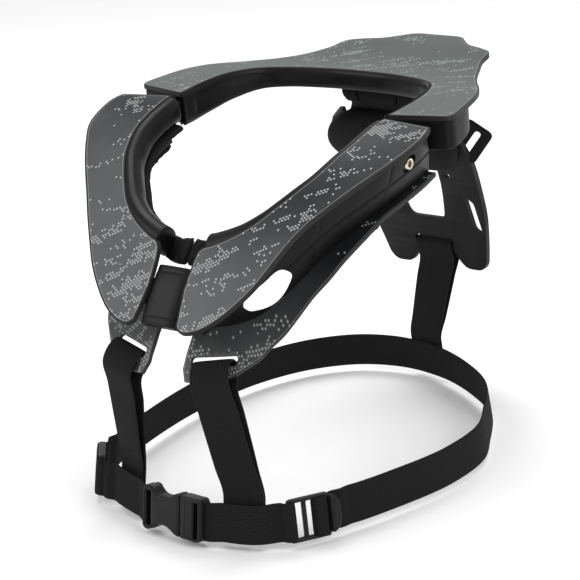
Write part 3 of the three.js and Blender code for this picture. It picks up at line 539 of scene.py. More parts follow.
class Value:
    """A socket that can be used in arithmetic: each operator adds a Math node.

    Comparisons give one or nought, and modulo's remainder is never negative.
    """

    def __init__(self, nodes: "Nodes", socket) -> None:
        """Wraps a socket of a material's nodes."""
        self.nodes = nodes
        self.socket = socket

    def math(self, operation: str, *others) -> "Value":
        """One Math node on this value and the others."""
        inputs = dict(enumerate((self, *others)))
        made = self.nodes.make("ShaderNodeMath", {"operation": operation}, inputs)
        return Value(self.nodes, made.outputs[0])

    __add__ = partialmethod(math, "ADD")
    __sub__ = partialmethod(math, "SUBTRACT")
    __mul__ = partialmethod(math, "MULTIPLY")
    __truediv__ = partialmethod(math, "DIVIDE")
    __pow__ = partialmethod(math, "POWER")
    __gt__ = partialmethod(math, "GREATER_THAN")
    __lt__ = partialmethod(math, "LESS_THAN")
    modulo = partialmethod(math, "FLOORED_MODULO")

    def ramp(self, low: float, high: float, start: float = 0.0, stop: float = 1.0) -> "Value":
        """A smooth step from start at low to stop at high."""
        words = ("Value", "From Min", "From Max", "To Min", "To Max")
        inputs = dict(zip(words, (self, low, high, start, stop)))
        made = self.nodes.make("ShaderNodeMapRange", {"interpolation_type": "SMOOTHSTEP"}, inputs)
        return Value(self.nodes, made.outputs[0])


class Nodes:
    """The node tree of one material."""

    def __init__(self, name: str) -> None:
        """Starts a material with a Principled shader."""
        self.material = bpy.data.materials.new(name)
        self.material.use_nodes = True
        self.tree = self.material.node_tree
        self.shader = next(n for n in self.tree.nodes if n.type == "BSDF_PRINCIPLED")

    def make(self, kind: str, settings: dict, inputs: dict):
        """One node: its settings first, then its sockets' values or links.

        Args:
            kind: the node's type.
            settings: attributes to set.
            inputs: values, Values or sockets by socket name or number.

        Returns:
            The node.
        """
        node = self.tree.nodes.new(kind)
        for key, value in settings.items():
            setattr(node, key, value)
        for key, value in inputs.items():
            self.feed(node.inputs[key], value)
        return node

    def feed(self, socket, value) -> None:
        """Sets a socket's value or links it."""
        if isinstance(value, Value):
            value = value.socket
        if isinstance(value, bpy.types.NodeSocket):
            self.tree.links.new(value, socket)
        else:
            socket.default_value = value

    def value(self, socket) -> Value:
        """A socket ready for arithmetic."""
        return Value(self, socket)

    def attribute(self, word: str) -> Value:
        """A number stored on the mesh."""
        node = self.make("ShaderNodeAttribute", {"attribute_name": word}, {})
        return self.value(node.outputs["Fac"])

    def place(self) -> tuple:
        """The object coordinates in millimetres, as three Values."""
        source = self.make("ShaderNodeTexCoord", {}, {}).outputs["Object"]
        parts = self.make("ShaderNodeSeparateXYZ", {}, {0: source}).outputs
        return tuple(self.value(p) * 1000.0 for p in parts)

    def weave_uv(self) -> tuple:
        """The strip's own coordinates in millimetres: across and along."""
        source = self.make("ShaderNodeUVMap", {"uv_map": "Weave"}, {}).outputs[0]
        parts = self.make("ShaderNodeSeparateXYZ", {}, {0: source}).outputs
        return self.value(parts[0]) * 1000.0, self.value(parts[1]) * 1000.0

    def noise(self, scale: float, detail: float = 3.0, at=None) -> Value:
        """Noise with features of about 1 / scale metres, or in the given vector's units."""
        if at is None:
            at = self.make("ShaderNodeTexCoord", {}, {}).outputs["Object"]
        inputs = {"Scale": scale, "Detail": detail, "Vector": at}
        return self.value(self.make("ShaderNodeTexNoise", {}, inputs).outputs["Fac"])

    def vector(self, x, y, z=0.0):
        """A vector from three values."""
        return self.make("ShaderNodeCombineXYZ", {}, {0: x, 1: y, 2: z}).outputs[0]

    def blend(self, share, low, high):
        """The colour between low and high at a share."""
        node = self.make("ShaderNodeMix", {"data_type": "RGBA"}, {})
        self.feed(node.inputs["Factor"], share)
        colours = [s for s in node.inputs if s.type == "RGBA"]
        self.feed(colours[0], low)
        self.feed(colours[1], high)
        return next(s for s in node.outputs if s.type == "RGBA")

    def relief(self, height, depth_mm: float) -> None:
        """Feeds a height of nought to one, depth_mm deep, to the shader's Normal."""
        inputs = {"Height": height, "Distance": depth_mm * MM, "Strength": 1.0}
        self.feed(self.shader.inputs["Normal"], self.make("ShaderNodeBump", {}, inputs).outputs[0])

    def surface(self, **sockets) -> bpy.types.Material:
        """Sets shader sockets by name, with underscores for spaces, and returns the material."""
        for key, value in sockets.items():
            self.feed(self.shader.inputs[key.replace("_", " ")], value)
        return self.material


def shade(level: float, tint: Sequence = (1.0, 1.0, 1.0)) -> tuple:
    """An opaque colour from a brightness and a tint."""
    return (level * tint[0], level * tint[1], level * tint[2], 1.0)


def honeycomb(u: Value, v: Value) -> tuple:
    """Each place's offset from the middle of its cell, in a honeycomb of pitch one."""
    tall = math.sqrt(3.0)
    ax, ay = u.modulo(1.0) - 0.5, v.modulo(tall) - tall / 2
    bx, by = (u + 0.5).modulo(1.0) - 0.5, (v + tall / 2).modulo(tall) - tall / 2
    near_a = (ax * ax + ay * ay) < (bx * bx + by * by)
    return bx + near_a * (ax - bx), by + near_a * (ay - by)


@dataclass(frozen=True)
class Moulded:
    """Moulded plastic or rubber with a fine grain."""

    slot: str
    level: float
    roughness: float
    grain_mm: float = 0.03
    gloss: float = 0.12

    def material(self) -> bpy.types.Material:
        """Builds the material."""
        nodes = Nodes(self.slot)
        cloud = nodes.noise(35.0, 4.0)
        grain = nodes.noise(2600.0, 2.0)
        dark, light = shade(self.level * 0.85), shade(self.level * 1.15)
        colour = nodes.blend(cloud.ramp(0.3, 0.7), dark, light)
        nodes.relief(grain * 0.8 + nodes.noise(300.0, 2.0) * 0.2, self.grain_mm)
        rough = cloud.ramp(0.3, 0.7, self.roughness - 0.05, self.roughness + 0.05)
        return nodes.surface(Base_Color=colour, Roughness=rough, Specular_IOR_Level=self.gloss)


@dataclass(frozen=True)
class Printed:
    """A satin shell printed with small light dots on a honeycomb, in drifting streaks.

    A dot sits in the middle of a cell where a noise that is drawn out along the streaks passes
    a limit, with a share of broad patches and of each cell's own chance in the sum. A plain
    dark rim and a light line follow the plate's edge. The ground is mottled at random and is
    painted lighter towards the front of the print, over the span fade, as a painted sheen.
    """

    slot: str
    low: tuple
    high: tuple
    dot: tuple
    turn: float = 30.0
    pitch: float = 2.2
    dot_radius: float = 0.33
    dot_blur: float = 0.06
    cluster: float = 0.56
    patch_share: float = 0.45
    lone_share: float = 0.2
    front_gain: float = 0.0
    roughness: float = 0.42
    rim_mm: float = 1.3
    line_share: float = 0.45
    gloss: float = 0.25
    # span of print_v over which the painted sheen falls off: the ground is lightest in front of it
    fade: tuple = (60.0, 170.0)

    def dots(self, nodes: Nodes, across: Value, down: Value) -> Value:
        """One on a dot, nought beside it."""
        turn = math.radians(self.turn)
        u = (across * math.cos(turn) + down * math.sin(turn)) / self.pitch + 400.0
        v = (down * math.cos(turn) - across * math.sin(turn)) / self.pitch + 400.0
        gx, gy = honeycomb(u, v)
        cx, cy = u - gx, v - gy
        drift = nodes.noise(1.0, 3.0, nodes.vector(cx * 0.085, cy * 0.3, 3.1))
        patch = nodes.noise(1.0, 2.0, nodes.vector(cx * 0.03, cy * 0.05, 9.0))
        inputs = {"Vector": nodes.vector(cx, cy)}
        chance = nodes.make("ShaderNodeTexWhiteNoise", {"noise_dimensions": "2D"}, inputs)
        tip = down.ramp(70.0, 10.0) * self.front_gain
        fill = drift + (patch - 0.5) * self.patch_share + tip
        fill = fill + (nodes.value(chance.outputs[0]) - 0.5) * self.lone_share
        far = (gx * gx + gy * gy) ** 0.5
        r, blur = self.dot_radius, self.dot_blur
        return far.ramp(r - blur, r + blur, 1.0, 0.0) * (fill > self.cluster)

    def material(self) -> bpy.types.Material:
        """Builds the material."""
        nodes = Nodes(self.slot)
        across, down, edge = map(nodes.attribute, ("print_u", "print_v", "edge_mm"))
        inside = edge.ramp(self.rim_mm - 0.25, self.rim_mm + 0.25)
        line = inside * edge.ramp(self.rim_mm + 0.3, self.rim_mm + 0.9, 1.0, 0.0)
        cloud = nodes.noise(14.0, 3.0)
        # random mottle plus a painted sheen: the ground is lighter towards the front of the print
        mottle_and_sheen = cloud.ramp(0.3, 0.7) * 0.25 + down.ramp(self.fade[0], self.fade[1], 0.75, 0.0)
        ground = nodes.blend(mottle_and_sheen, self.low, self.high)
        face = nodes.blend(self.dots(nodes, across, down), ground, self.dot)
        face = nodes.blend(line * self.line_share, face, self.dot)
        colour = nodes.blend(inside, shade(0.018), face)
        rough = inside.ramp(0.0, 1.0, 0.5, self.roughness) + cloud * 0.05
        nodes.relief(nodes.noise(1500.0, 2.0) * 0.5 + inside * 0.5, 0.05)
        return nodes.surface(Base_Color=colour, Roughness=rough, Specular_IOR_Level=self.gloss)


@dataclass(frozen=True)
class Webbing:
    """Woven nylon: cords along the strip bound by ribs across it.

    The height is |sin| of the cords times |sin| of the ribs, the ribs shifted by half a step
    from cord to cord. The colour follows the height: painted shade in the weave's hollows and
    a painted highlight on its raised cords.
    """

    slot: str
    cord_mm: float = 1.5
    rib_mm: float = 1.7
    level: float = 0.012

    def material(self) -> bpy.types.Material:
        """Builds the material."""
        nodes = Nodes(self.slot)
        across, along = nodes.weave_uv()
        lane = (across / self.cord_mm).math("FLOOR")
        cords = (across * (math.pi / self.cord_mm)).math("SINE").math("ABSOLUTE")
        shifted = along * (math.pi / self.rib_mm) + lane * (math.pi / 2)
        ribs = shifted.math("SINE").math("ABSOLUTE")
        fluff = nodes.noise(2200.0, 3.0)
        height = (cords**0.5) * (ribs**0.7)
        # painted shade and highlight: darker in the weave's hollows, lighter on the raised cords
        light = height.ramp(0.1, 1.0) * 0.8 + fluff * 0.2
        colour = nodes.blend(light, shade(self.level * 0.15), shade(self.level * 2.4))
        nodes.relief(height * 0.85 + fluff * 0.15, 0.28)
        return nodes.surface(Base_Color=colour, Roughness=0.85, Specular_IOR_Level=0.12)


@dataclass(frozen=True)
class PadCover:
    """Foam under a thin knitted cover."""

    slot: str
    level: float = 0.014

    def material(self) -> bpy.types.Material:
        """Builds the material."""
        nodes = Nodes(self.slot)
        x, y, z = nodes.place()
        knit = ((x + z * 0.5) * 4.2).math("SINE") * ((y - z * 0.6) * 4.2).math("SINE")
        fluff = nodes.noise(1800.0, 3.0)
        light = knit.ramp(-0.8, 0.8) * 0.5 + fluff * 0.5
        colour = nodes.blend(light, shade(self.level * 0.7), shade(self.level * 1.5))
        nodes.relief(light, 0.09)
        return nodes.surface(Base_Color=colour, Roughness=0.8, Specular_IOR_Level=0.15)


@dataclass(frozen=True)
class Metal:
    """Bright screw steel with a fine worn grain."""

    slot: str

    def material(self) -> bpy.types.Material:
        """Builds the material."""
        nodes = Nodes(self.slot)
        worn = nodes.noise(900.0, 4.0)
        colour = nodes.blend(worn.ramp(0.35, 0.7), (0.62, 0.55, 0.43, 1), (0.8, 0.76, 0.68, 1))
        nodes.relief(worn, 0.02)
        rough = worn.ramp(0.3, 0.7, 0.18, 0.34)
        return nodes.surface(Base_Color=colour, Roughness=rough, Metallic=1.0)


@dataclass(frozen=True)
class RedEdge:
    """Dark red paint on the thin edge of the side gap."""

    slot: str

    def material(self) -> bpy.types.Material:
        """Builds the material."""
        nodes = Nodes(self.slot)
        cloud = nodes.noise(200.0, 3.0)
        colour = nodes.blend(cloud.ramp(0.3, 0.7), (0.1, 0.004, 0.008, 1), (0.2, 0.01, 0.02, 1))
        nodes.relief(nodes.noise(1500.0, 2.0), 0.02)
        return nodes.surface(Base_Color=colour, Roughness=0.4)


class Finish(Enum):
    """Every finish on the brace; each value builds its material."""

    PRINTED_ARM = Printed(
        "printed_shell", (0.01, 0.012, 0.013, 1), (0.1, 0.105, 0.108, 1), (0.33, 0.34, 0.34, 1),
        cluster=0.60, front_gain=0.12, gloss=0.15,
    )
    PRINTED_REAR = Printed(
        "printed_shell", (0.05, 0.06, 0.058, 1), (0.08, 0.092, 0.089, 1), (0.26, 0.29, 0.28, 1),
        turn=50.0, cluster=0.63, fade=(205.0, 420.0),
    )
    CHEST = Printed(
        "chest_shell", (0.004, 0.005, 0.006, 1), (0.05, 0.052, 0.053, 1), (0.24, 0.25, 0.25, 1),
        cluster=0.66, front_gain=0.16, roughness=0.34, rim_mm=0.6, fade=(30.0, 75.0),
    )
    BODY = Moulded("body_plastic", 0.0045, 0.42)
    BACK = Moulded("back_plastic", 0.011, 0.5)
    BUMPER = Moulded("bumper_rubber", 0.0045, 0.34, gloss=0.16)
    FITTING = Moulded("fitting_plastic", 0.008, 0.34, gloss=0.2)
    PAD = PadCover("pad_fabric", level=0.006)
    WEB = Webbing("webbing", level=0.0085)
    STEEL = Metal("bolt_steel")
    RED = RedEdge("gap_edge")

    @cache
    def material(self) -> bpy.types.Material:
        """This finish's one material, shared by its pieces."""
        return self.value.material()


def fit(thing, finish: Finish, *nodes: str) -> None:
    """Hands a finished piece to the frame.

    Args:
        thing: the piece.
        finish: its finish.
        nodes: the CAD nodes that it stands for.
    """
    thing.data.materials.clear()
    thing.data.materials.append(finish.material())
    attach(thing, "root")
    if nodes:
        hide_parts(*nodes)
    LOG.info("%s: %d faces", thing.name, len(thing.data.polygons))


def swell(thing, cap: float, voxel: float):
    """Puffs a pad up with a short cloth simulation, then smooths it.

    Each point moves cap tanh(d / cap), with d the cloth's own move.

    Args:
        thing: a closed mesh object.
        cap: how far a point may move, in millimetres.
        voxel: the remesh step in millimetres.

    Returns:
        The object.
    """
    remesh = thing.modifiers.new("remesh", "REMESH")
    remesh.mode = "VOXEL"
    remesh.voxel_size = voxel * MM
    bake(thing)
    rest = points_of(thing)
    cloth = thing.modifiers.new("cloth", "CLOTH")
    cloth.settings.use_pressure = True
    cloth.settings.uniform_pressure_force = CLOTH_PRESSURE
    cloth.settings.effector_weights.gravity = 0.0
    cloth.point_cache.frame_end = CLOTH_FRAMES
    for step in range(1, CLOTH_FRAMES + 1):
        bpy.context.scene.frame_set(step)
    bake(thing)
    bpy.context.scene.frame_set(1)
    shift = points_of(thing) - rest
    size = np.linalg.norm(shift, axis=1, keepdims=True)
    limit = cap * MM
    shift *= limit * np.tanh(size / limit) / np.maximum(size, 1e-9)
    thing.data.vertices.foreach_set("co", (rest + shift).ravel())
    round_shading(thing.data)
    ease = thing.modifiers.new("ease", "SMOOTH")
    ease.iterations = 4
    bake(thing)
    sub = thing.modifiers.new("sub", "SUBSURF")
    sub.levels = sub.render_levels = 1
    return thing


# Arms and chest plates


@dataclass
class Arm:
    """One arm with its chest plate: shell, body, bumper, pads, bolt and gap edge."""

    side: Side
    rows: Sequence = (
        (87.5, -8, 126, -14), (86.5, -22, 128.6, -23), (86, -36, 128.3, -38),
        (83.8, -51, 124, -55), (80.5, -63, 116.5, -67.5), (76, -74, 107.5, -80),
        (70, -83, 99, -90.5), (62.5, -92.5, 90, -101), (54, -101.5, 81, -112),
        (45, -107.8, 73.5, -120.5), (35.5, -112, 65, -129.5), (25, -115.3, 54, -138),
        (18.4, -117, 42, -145), (15.3, -120, 31, -149), (14.3, -126, 22.5, -150),
        (13.9, -134, 17, -148),
    )
    chest_rows: Sequence = (
        (99, 2, -33, 117, 5, -35), (98, -12, -36.5, 117, -10, -39.4),
        (96, -26, -41, 114, -28, -45.5), (92, -40, -47.5, 109, -47, -53),
        (86, -53, -55, 103, -60, -63.5), (80, -66, -63.5, 96, -72, -75),
        (74, -77, -72, 90, -82, -86), (67, -90, -82, 83, -91, -97),
        (58, -98, -90, 77, -99, -108), (48, -104, -97, 71.5, -108, -118),
        (38, -110, -102, 67, -116, -124), (27, -116, -107, 62, -121.5, -131),
        (18.5, -119.5, -110, 54, -129.4, -137), (14.8, -124, -115, 48, -133.5, -141.5),
        (14.2, -130, -123, 37, -139.3, -144.8), (14.1, -136, -132, 26.5, -143.4, -146.3),
        (14.1, -140, -139, 17.5, -143.6, -146.3),
    )
    shelf: float = 4.0
    bumper_reach: float = 7.4
    bumper_depth: float = 19.0
    sections: int = 150
    chest_wall: float = 3.0
    fade_row: float = 10.6
    fade_rows: float = 1.8
    seam_rows: tuple = (3.3, 7.2)
    seam_depth: float = 0.8
    bolt_place: tuple = (-31, -20)
    body_end: float = 0.86
    bumper_end: float = 0.855
    pad_end: float = 0.78
    chest_pad_end: float = 0.69
    gap_edge_span: tuple = (0.60, 0.745)
    gap_outline: Sequence = (
        (-14.2, -11.4), (-1.4, 5.4), (10, 13), (15, 10.8), (12.8, 2.3), (3.9, -8.4),
        (-5.6, -12.2), (-11.4, -12.8),
    )
    rail: Rail = field(init=False)
    chest: Array = field(init=False)

    def __post_init__(self) -> None:
        """Works out the dense edges on this side."""
        sx = self.side.value
        self.rail = Rail.through(np.asarray(self.rows, float) * [sx, 1, sx, 1], self.sections)
        chest = np.asarray(self.chest_rows, float) * [sx, 1, 1, sx, 1, 1]
        self.chest = smooth(chest, self.sections)
        self.row = np.linspace(0, len(self.rows) - 1, self.sections)
        self.fade = np.clip((self.row - self.fade_row) / self.fade_rows, 0, 1)

    def section(self, share: float) -> int:
        """The section at a share of the arm's length."""
        return int(self.sections * share)

    def name(self, word: str) -> str:
        """A piece's name on this side."""
        return f"{word}_{self.side.word}_form"

    def node(self, word: str) -> str:
        """A CAD node's name on this side."""
        return f"{word}_{self.side.word}"

    def shell(self) -> None:
        """The printed plate: a draped slab with rounded rims."""
        top = self.rail.row(0.0, 22, crowd=True)
        low = self.rail.row(-PLATE_WALL, 22, crowd=True)
        thing = grid_mesh(self.name("arm_shell"), slab_loops(top, low))
        edge_distance(thing, top)
        print_way(thing, (0.0, 30.0 * self.side.value))
        soften(thing, width=0.9, segments=3)
        fit(thing, Finish.PRINTED_ARM, self.node("arm_plate"))

    def chest_face(self, h: float, count: int, near: float = 0.0, far: float = 0.0) -> Array:
        """Points across the chest plate at height h over its face."""
        inner, outer = self.chest[:, :3], self.chest[:, 3:]
        along = np.gradient(inner + outer, axis=0)
        normal = unit(np.cross(along, outer - inner))
        normal *= -np.sign(normal[:, 1:2])
        width = np.linalg.norm(outer - inner, axis=1)
        share = np.linspace(0, 1, count)[None, :]
        far = np.broadcast_to(far, width.shape)
        share = (near / width)[:, None] + share * (1 - (near + far) / width)[:, None]
        flat = inner[:, None] + (outer - inner)[:, None] * share[..., None]
        return flat + h * normal[:, None]

    def open_gap(self, thing) -> None:
        """Cuts the oval side gap through a piece, along the line of sight from the front."""
        oval = smooth(self.gap_outline, 60, True) * [self.side.value, 1]
        tool = moulding("side_gap_tool", [oval], depth=120, edge=1)
        sight = Frame.looking((64, -112, -88), (0.5787, -0.7558, 0.3054), (0.81, 0.5835, -0.0573))
        cut_with(thing, sight.mirrored(self.side).put(tool))

    def lip(self) -> Array:
        """How far the chest plate stands out past the body: widening towards the front."""
        width = np.linalg.norm(self.chest[:, 3:] - self.chest[:, :3], axis=1)
        t = np.clip((self.row - 2) / 5, 0, 1)
        return 5.0 + (0.62 * width - 5.0) * t * t * (3 - 2 * t) + 0.18 * width * self.fade

    def body(self) -> None:
        """The moulded body: from under the plate down to the chest plate, with fine seams.

        Its outer wall runs from the plate's shelf to the chest plate's with a bulge of
        1.2 sin(pi v), less 0.8 exp(-(d / w)^2) along each seam. An oval is cut through near
        the front, and a bore for the bolt.
        """
        width = np.linalg.norm(self.rail.outer - self.rail.inner, axis=1)
        near = np.minimum(RIM_INSET + 0.6, 0.3 * width)
        shelf = np.minimum(self.shelf, 0.2 * width) + 0.45 * width * self.fade * self.fade
        stop = self.section(self.body_end)
        top = self.rail.row(-PLATE_WALL - SEAL, 10, near, shelf)[:stop]
        floor = self.chest_face(0.2, 10, 2.2, self.lip())[:stop]
        v = np.linspace(0, 1, 41)[None, 1:-1, None]
        wall = top[:, -1:] * (1 - v) + floor[:, -1:] * v
        mid = self.seam_depth * np.exp(-((v[..., 0] - 0.5) / 0.024) ** 2)
        row = self.row[:stop, None]
        cross = sum(self.seam_depth * np.exp(-((row - at) / 0.075) ** 2) for at in self.seam_rows)
        inward = unit(top[:, :1] - top[:, -1:])
        bulge = 1.2 * np.sin(np.pi * v[..., 0]) * (1 - self.fade[:stop, None])
        wall = wall + inward * (np.maximum(mid, cross) - bulge)[..., None]
        back = floor[:, :1] * (1 - v) + top[:, :1] * v
        loops = np.concatenate([top, wall, floor[:, ::-1], back], axis=1)
        thing = soften(grid_mesh(self.name("arm_body"), loops), angle=28)
        self.open_gap(thing)
        bore = moulding("bore_tool", [box_outline(12, 12, 6)], depth=16, edge=0.4)
        cut_with(thing, self.bolt_frame(124.5).put(bore))
        soften(thing, angle=28)
        fit(thing, Finish.BODY, self.node("arm_body"))

    def bumper(self) -> None:
        """The soft neck-side rim: a rounded profile carried along the edge, domed at its ends."""
        r, d = self.bumper_reach, self.bumper_depth
        profile = smooth(
            [(0.2, -0.5), (0.35 * r, -0.03 * d), (0.7 * r, -0.13 * d), (0.94 * r, -0.32 * d),
             (r, -0.56 * d), (0.88 * r, -0.82 * d), (0.55 * r, -0.97 * d), (0, -d),
             (-3.6, -d), (-4, -0.6 * d), (-4, -3.6), (-1, -3.5), (0.2, -3.3)],
            34,
            closed=True,
        )
        loops = self.rail.cropped(2, self.section(self.bumper_end)).rim(profile)
        thing = grid_mesh(self.name("arm_bumper"), rounded_ends(loops, reach=1.6, rings=5))
        fit(soften(thing, angle=60), Finish.BUMPER, self.node("arm_bumper"))

    def pad(self) -> None:
        """The soft strip under the bumper, which goes on to meet its neighbour in the middle."""
        sx = self.side.value
        rail = self.rail.cropped(1, self.section(self.pad_end))
        knots = np.hstack([rail.inner, rail.outer, np.zeros((len(rail.inner), 1))])[::9]
        ends = np.array([
            [13.5, -118.3, 14, -143, 2.5], [7.5, -118.9, 8, -143, 7.5],
            [1.2, -119.2, 1.2, -143, 9],
        ]) * [sx, 1, sx, 1, 1]
        even = smooth(np.vstack([knots, ends]), 150)
        whole = Rail(even[:, :2], even[:, 2:4])
        top = -self.bumper_depth - 0.9
        section = smooth([(-3.2, top), (3, top), (7, top - 1), (8.2, top - 2.8), (7, top - 4.8),
                          (2, top - 5), (-3.2, top - 5)], 24, closed=True)
        dense = np.broadcast_to(section, (150, 24, 2)).copy()
        dense[..., 1] += even[:, 4:5]
        thing = grid_mesh(self.name("arm_pad"), rounded_ends(whole.rim(dense), reach=1.0))
        swell(thing, cap=0.7, voxel=1.7)
        fit(thing, Finish.PAD, self.node("arm_pad"))

    def slot_frame(self) -> Frame:
        """Where the strap passes through the chest plate."""
        at, out, across = (33.65, -132.35, -133.2), (0.215, -0.79, 0.565), (0.966, 0.187, 0.177)
        return Frame.looking(at, out, across).mirrored(self.side)

    def chest_plate(self) -> None:
        """The dark shell below the arm, with its strap slot."""
        top, low = self.chest_face(0.0, 16), self.chest_face(-self.chest_wall, 16)
        thing = grid_mesh(self.name("chest_shell"), slab_loops(top, low))
        edge_distance(thing, top)
        middle = (self.chest[::-1, :3] + self.chest[::-1, 3:]) / 2
        print_way(thing, (500.0, 0.0), middle[:, 1:])
        slot = moulding("slot_tool", [box_outline(31.5, 7, 3.2)], depth=24, edge=0.6)
        cut_with(thing, self.slot_frame().put(slot))
        self.open_gap(thing)
        soften(thing)
        soften(thing, width=0.7, segments=2, angle=50)
        fit(thing, Finish.CHEST, self.node("chest_plate"))

    def chest_pad(self) -> None:
        """The padded layer behind the chest plate, which stops above the slot."""
        stop = self.section(self.chest_pad_end)
        top, low = (
            self.chest_face(-self.chest_wall - depth, 8, 1.0, 2.5)[:stop:3] for depth in (0.9, 4.9)
        )
        thing = grid_mesh(self.name("chest_pad"), slab_loops(top, low))
        self.open_gap(thing)
        swell(thing, cap=0.8, voxel=1.9)
        fit(thing, Finish.PAD, self.node("chest_pad"))

    def bolt_frame(self, x: float) -> Frame:
        """The bolt's axis at a distance x from the middle."""
        sx = self.side.value
        return Frame.looking((sx * x, *self.bolt_place), (sx, 0, 0), (0, 1, 0))

    def bolt(self) -> None:
        """The socket screw: a turned head with a hexagonal recess."""
        turn = np.linspace(0, 2 * math.pi, 36, endpoint=False)[None, :]
        six = np.cos(math.pi / 6) / np.cos((turn + math.pi / 6) % (math.pi / 3) - math.pi / 6)
        rows = np.array([
            (0.2, -2.4, 0), (3.8, -2.4, 0), (3.9, 1.9, 0), (3.5, 2.4, 0), (2.9, 2.4, 0),
            (2.5, 2.0, 1), (2.3, -1.9, 1), (0.2, -2.1, 1),
        ])
        r, z, hexed = rows.T[..., None]
        r = r * np.where(hexed > 0, six, 1)
        loops = np.stack([r * np.cos(turn), r * np.sin(turn), z + 0 * turn], -1)
        thing = grid_mesh(self.name("side_screw"), loops)
        self.bolt_frame(119).put(thing)
        fit(soften(thing, width=0.2, segments=2, angle=40), Finish.STEEL, self.node("side_bolt"))

    def gap_edge(self) -> None:
        """The thin red edge along the top of the side gap."""
        rail = self.rail.cropped(*map(self.section, self.gap_edge_span))
        h = -PLATE_WALL - 5.2
        loops = slab_loops(rail.row(h, 3, 14.0, 4.4), rail.row(h - 1.0, 3, 14.0, 4.4))
        thing = grid_mesh(self.name("gap_trim"), loops)
        fit(soften(thing, width=0.25, segments=2), Finish.RED, self.node("gap_edge"))

    def build(self) -> None:
        """Builds every piece of this arm."""
        for piece in (
            self.shell, self.body, self.bumper, self.pad, self.chest_plate, self.chest_pad,
            self.bolt, self.gap_edge,
        ):
            piece()


@dataclass
class RearHalf:
    """The rear platform with its body, rim and three pads."""

    rows: Sequence = (
        (85.5, -1, 125.4, 8, 1.4, 19), (85.8, 8, 127.4, 13, 1.4, 19), (86, 18, 126, 24, 1.4, 18.6),
        (85.8, 28, 124, 35, 1.8, 18), (84.8, 38, 121.5, 46, 3.6, 17), (83, 48, 118, 57, 6.6, 15.6),
        (80, 57, 113, 68, 9.6, 14.2), (76.5, 65, 105, 80.6, 11.4, 12.7),
        (72, 72.5, 97, 92, 12, 11.4), (66.5, 78.5, 87, 108, 12, 10.6),
        (60, 83.5, 79, 122, 12, 10.3), (52, 87.3, 71.6, 137, 12, 10),
        (44, 90, 65, 152, 12, 10), (36, 92.2, 60.8, 168, 12, 10), (29, 93.7, 49, 175.2, 12, 10),
        (22, 94.9, 37.5, 179.8, 12, 10), (14, 95.6, 28.6, 188.5, 12, 10),
        (7, 95.9, 20.6, 196.8, 12, 10), (0, 96, 0, 198.6, 12, 10),
    )
    rim_reach: float = 3.0

    def __post_init__(self) -> None:
        """Works out the dense edges from limb to limb."""
        left = smooth(self.rows, 130)
        right = left[-2::-1] * [-1, 1, -1, 1, 1, 1]
        both = np.vstack([left, right])
        self.rail = Rail(both[:, :2], both[:, 2:4])
        self.shelf, self.depth = both[:, 4], both[:, 5]

    def platform(self) -> None:
        """The printed plate with its rear lobe."""
        top = self.rail.row(0.0, 26, crowd=True)
        low = self.rail.row(-PLATE_WALL, 26, crowd=True)
        thing = grid_mesh("rear_shell", slab_loops(top, low))
        edge_distance(thing, top)
        print_way(thing)
        soften(thing, width=0.9, segments=3)
        fit(thing, Finish.PRINTED_REAR, "rear_platform")

    def body(self) -> None:
        """The black body under the plate, with a block at each end."""
        near = np.full(len(self.depth), RIM_INSET + 0.6)
        top = self.rail.row(-PLATE_WALL - SEAL, 16, near, self.shelf)
        low = self.rail.row(-PLATE_WALL - 0.6 - self.depth, 16, near, self.shelf)
        thing = grid_mesh("rear_body_form", slab_loops(top, low))
        soften(thing, width=1.4, segments=4, angle=50)
        fit(thing, Finish.BODY, "rear_body")

    def rim(self) -> None:
        """The neck-side rim: a rounded lip over a wall with an inset panel on each limb."""
        d = (self.depth + PLATE_WALL)[:, None]
        share = smooth(
            [(0.2, -0.02), (0.75, -0.06), (1.0, -0.2), (1.0, -0.5), (0.95, -0.85), (0.6, -1.0),
             (-0.5, -1.0), (-1.3, -0.98), (-1.33, -0.6), (-1.33, -0.3), (-0.6, -0.3),
             (0.1, -0.28)],
            40,
            closed=True,
        )
        reach = np.broadcast_to(share[:, 0] * self.rim_reach, (len(d), len(share))).copy()
        back = share[:, 0] < -0.1
        reach[:, back] = np.maximum(reach[:, back], -RIM_INSET)
        high = share[None, :, 1] * d - 0.3
        loops = self.rail.rim(np.stack([reach, high], -1))
        y = loops[..., 1]
        panel = 1 / (1 + np.exp(-(np.minimum(y - 12, 70 - y)) / 0.8))
        level, facing = share[None, :, 1], share[None, :, 0] > 0.5
        panel = panel * np.exp(-((level + 0.58) / 0.28) ** 8) * facing
        centre = loops.mean(1, keepdims=True)
        loops = loops + unit(centre - loops) * panel[..., None] * [1, 1, 0]
        thing = grid_mesh("rear_rim", rounded_ends(loops, reach=1.0))
        fit(soften(thing, angle=60), Finish.BUMPER, "rear_bumper")

    def pads(self) -> None:
        """Three small pads side by side under the rim."""
        z, width, back = np.array([
            (-11.9, 1.0, 1.2), (-13, 1.0, 0.3), (-16, 1.0, 0), (-20, 0.97, 0), (-23.4, 0.9, 1.0),
            (-25, 0.86, 3.2),
        ]).T[..., None]
        spans = {"left": (17.4, 30.4), "middle": (-16.6, 16.6), "right": (-30.4, -17.4)}
        for word, (start, stop) in spans.items():
            x = np.linspace(start, stop, 9)[None, :] * width
            face = np.stack([x, 112.9 + back + 0 * x, z + 0 * x], -1)
            rear = face.copy()
            rear[..., 1] = 120.2
            thing = grid_mesh(f"rear_cushion_{word}", slab_loops(face, rear))
            swell(thing, cap=0.6, voxel=1.1)
            fit(thing, Finish.PAD, f"rear_pad_{word}")

    def build(self) -> None:
        """Builds the rear half."""
        self.platform()
        self.body()
        self.rim()
        self.pads()


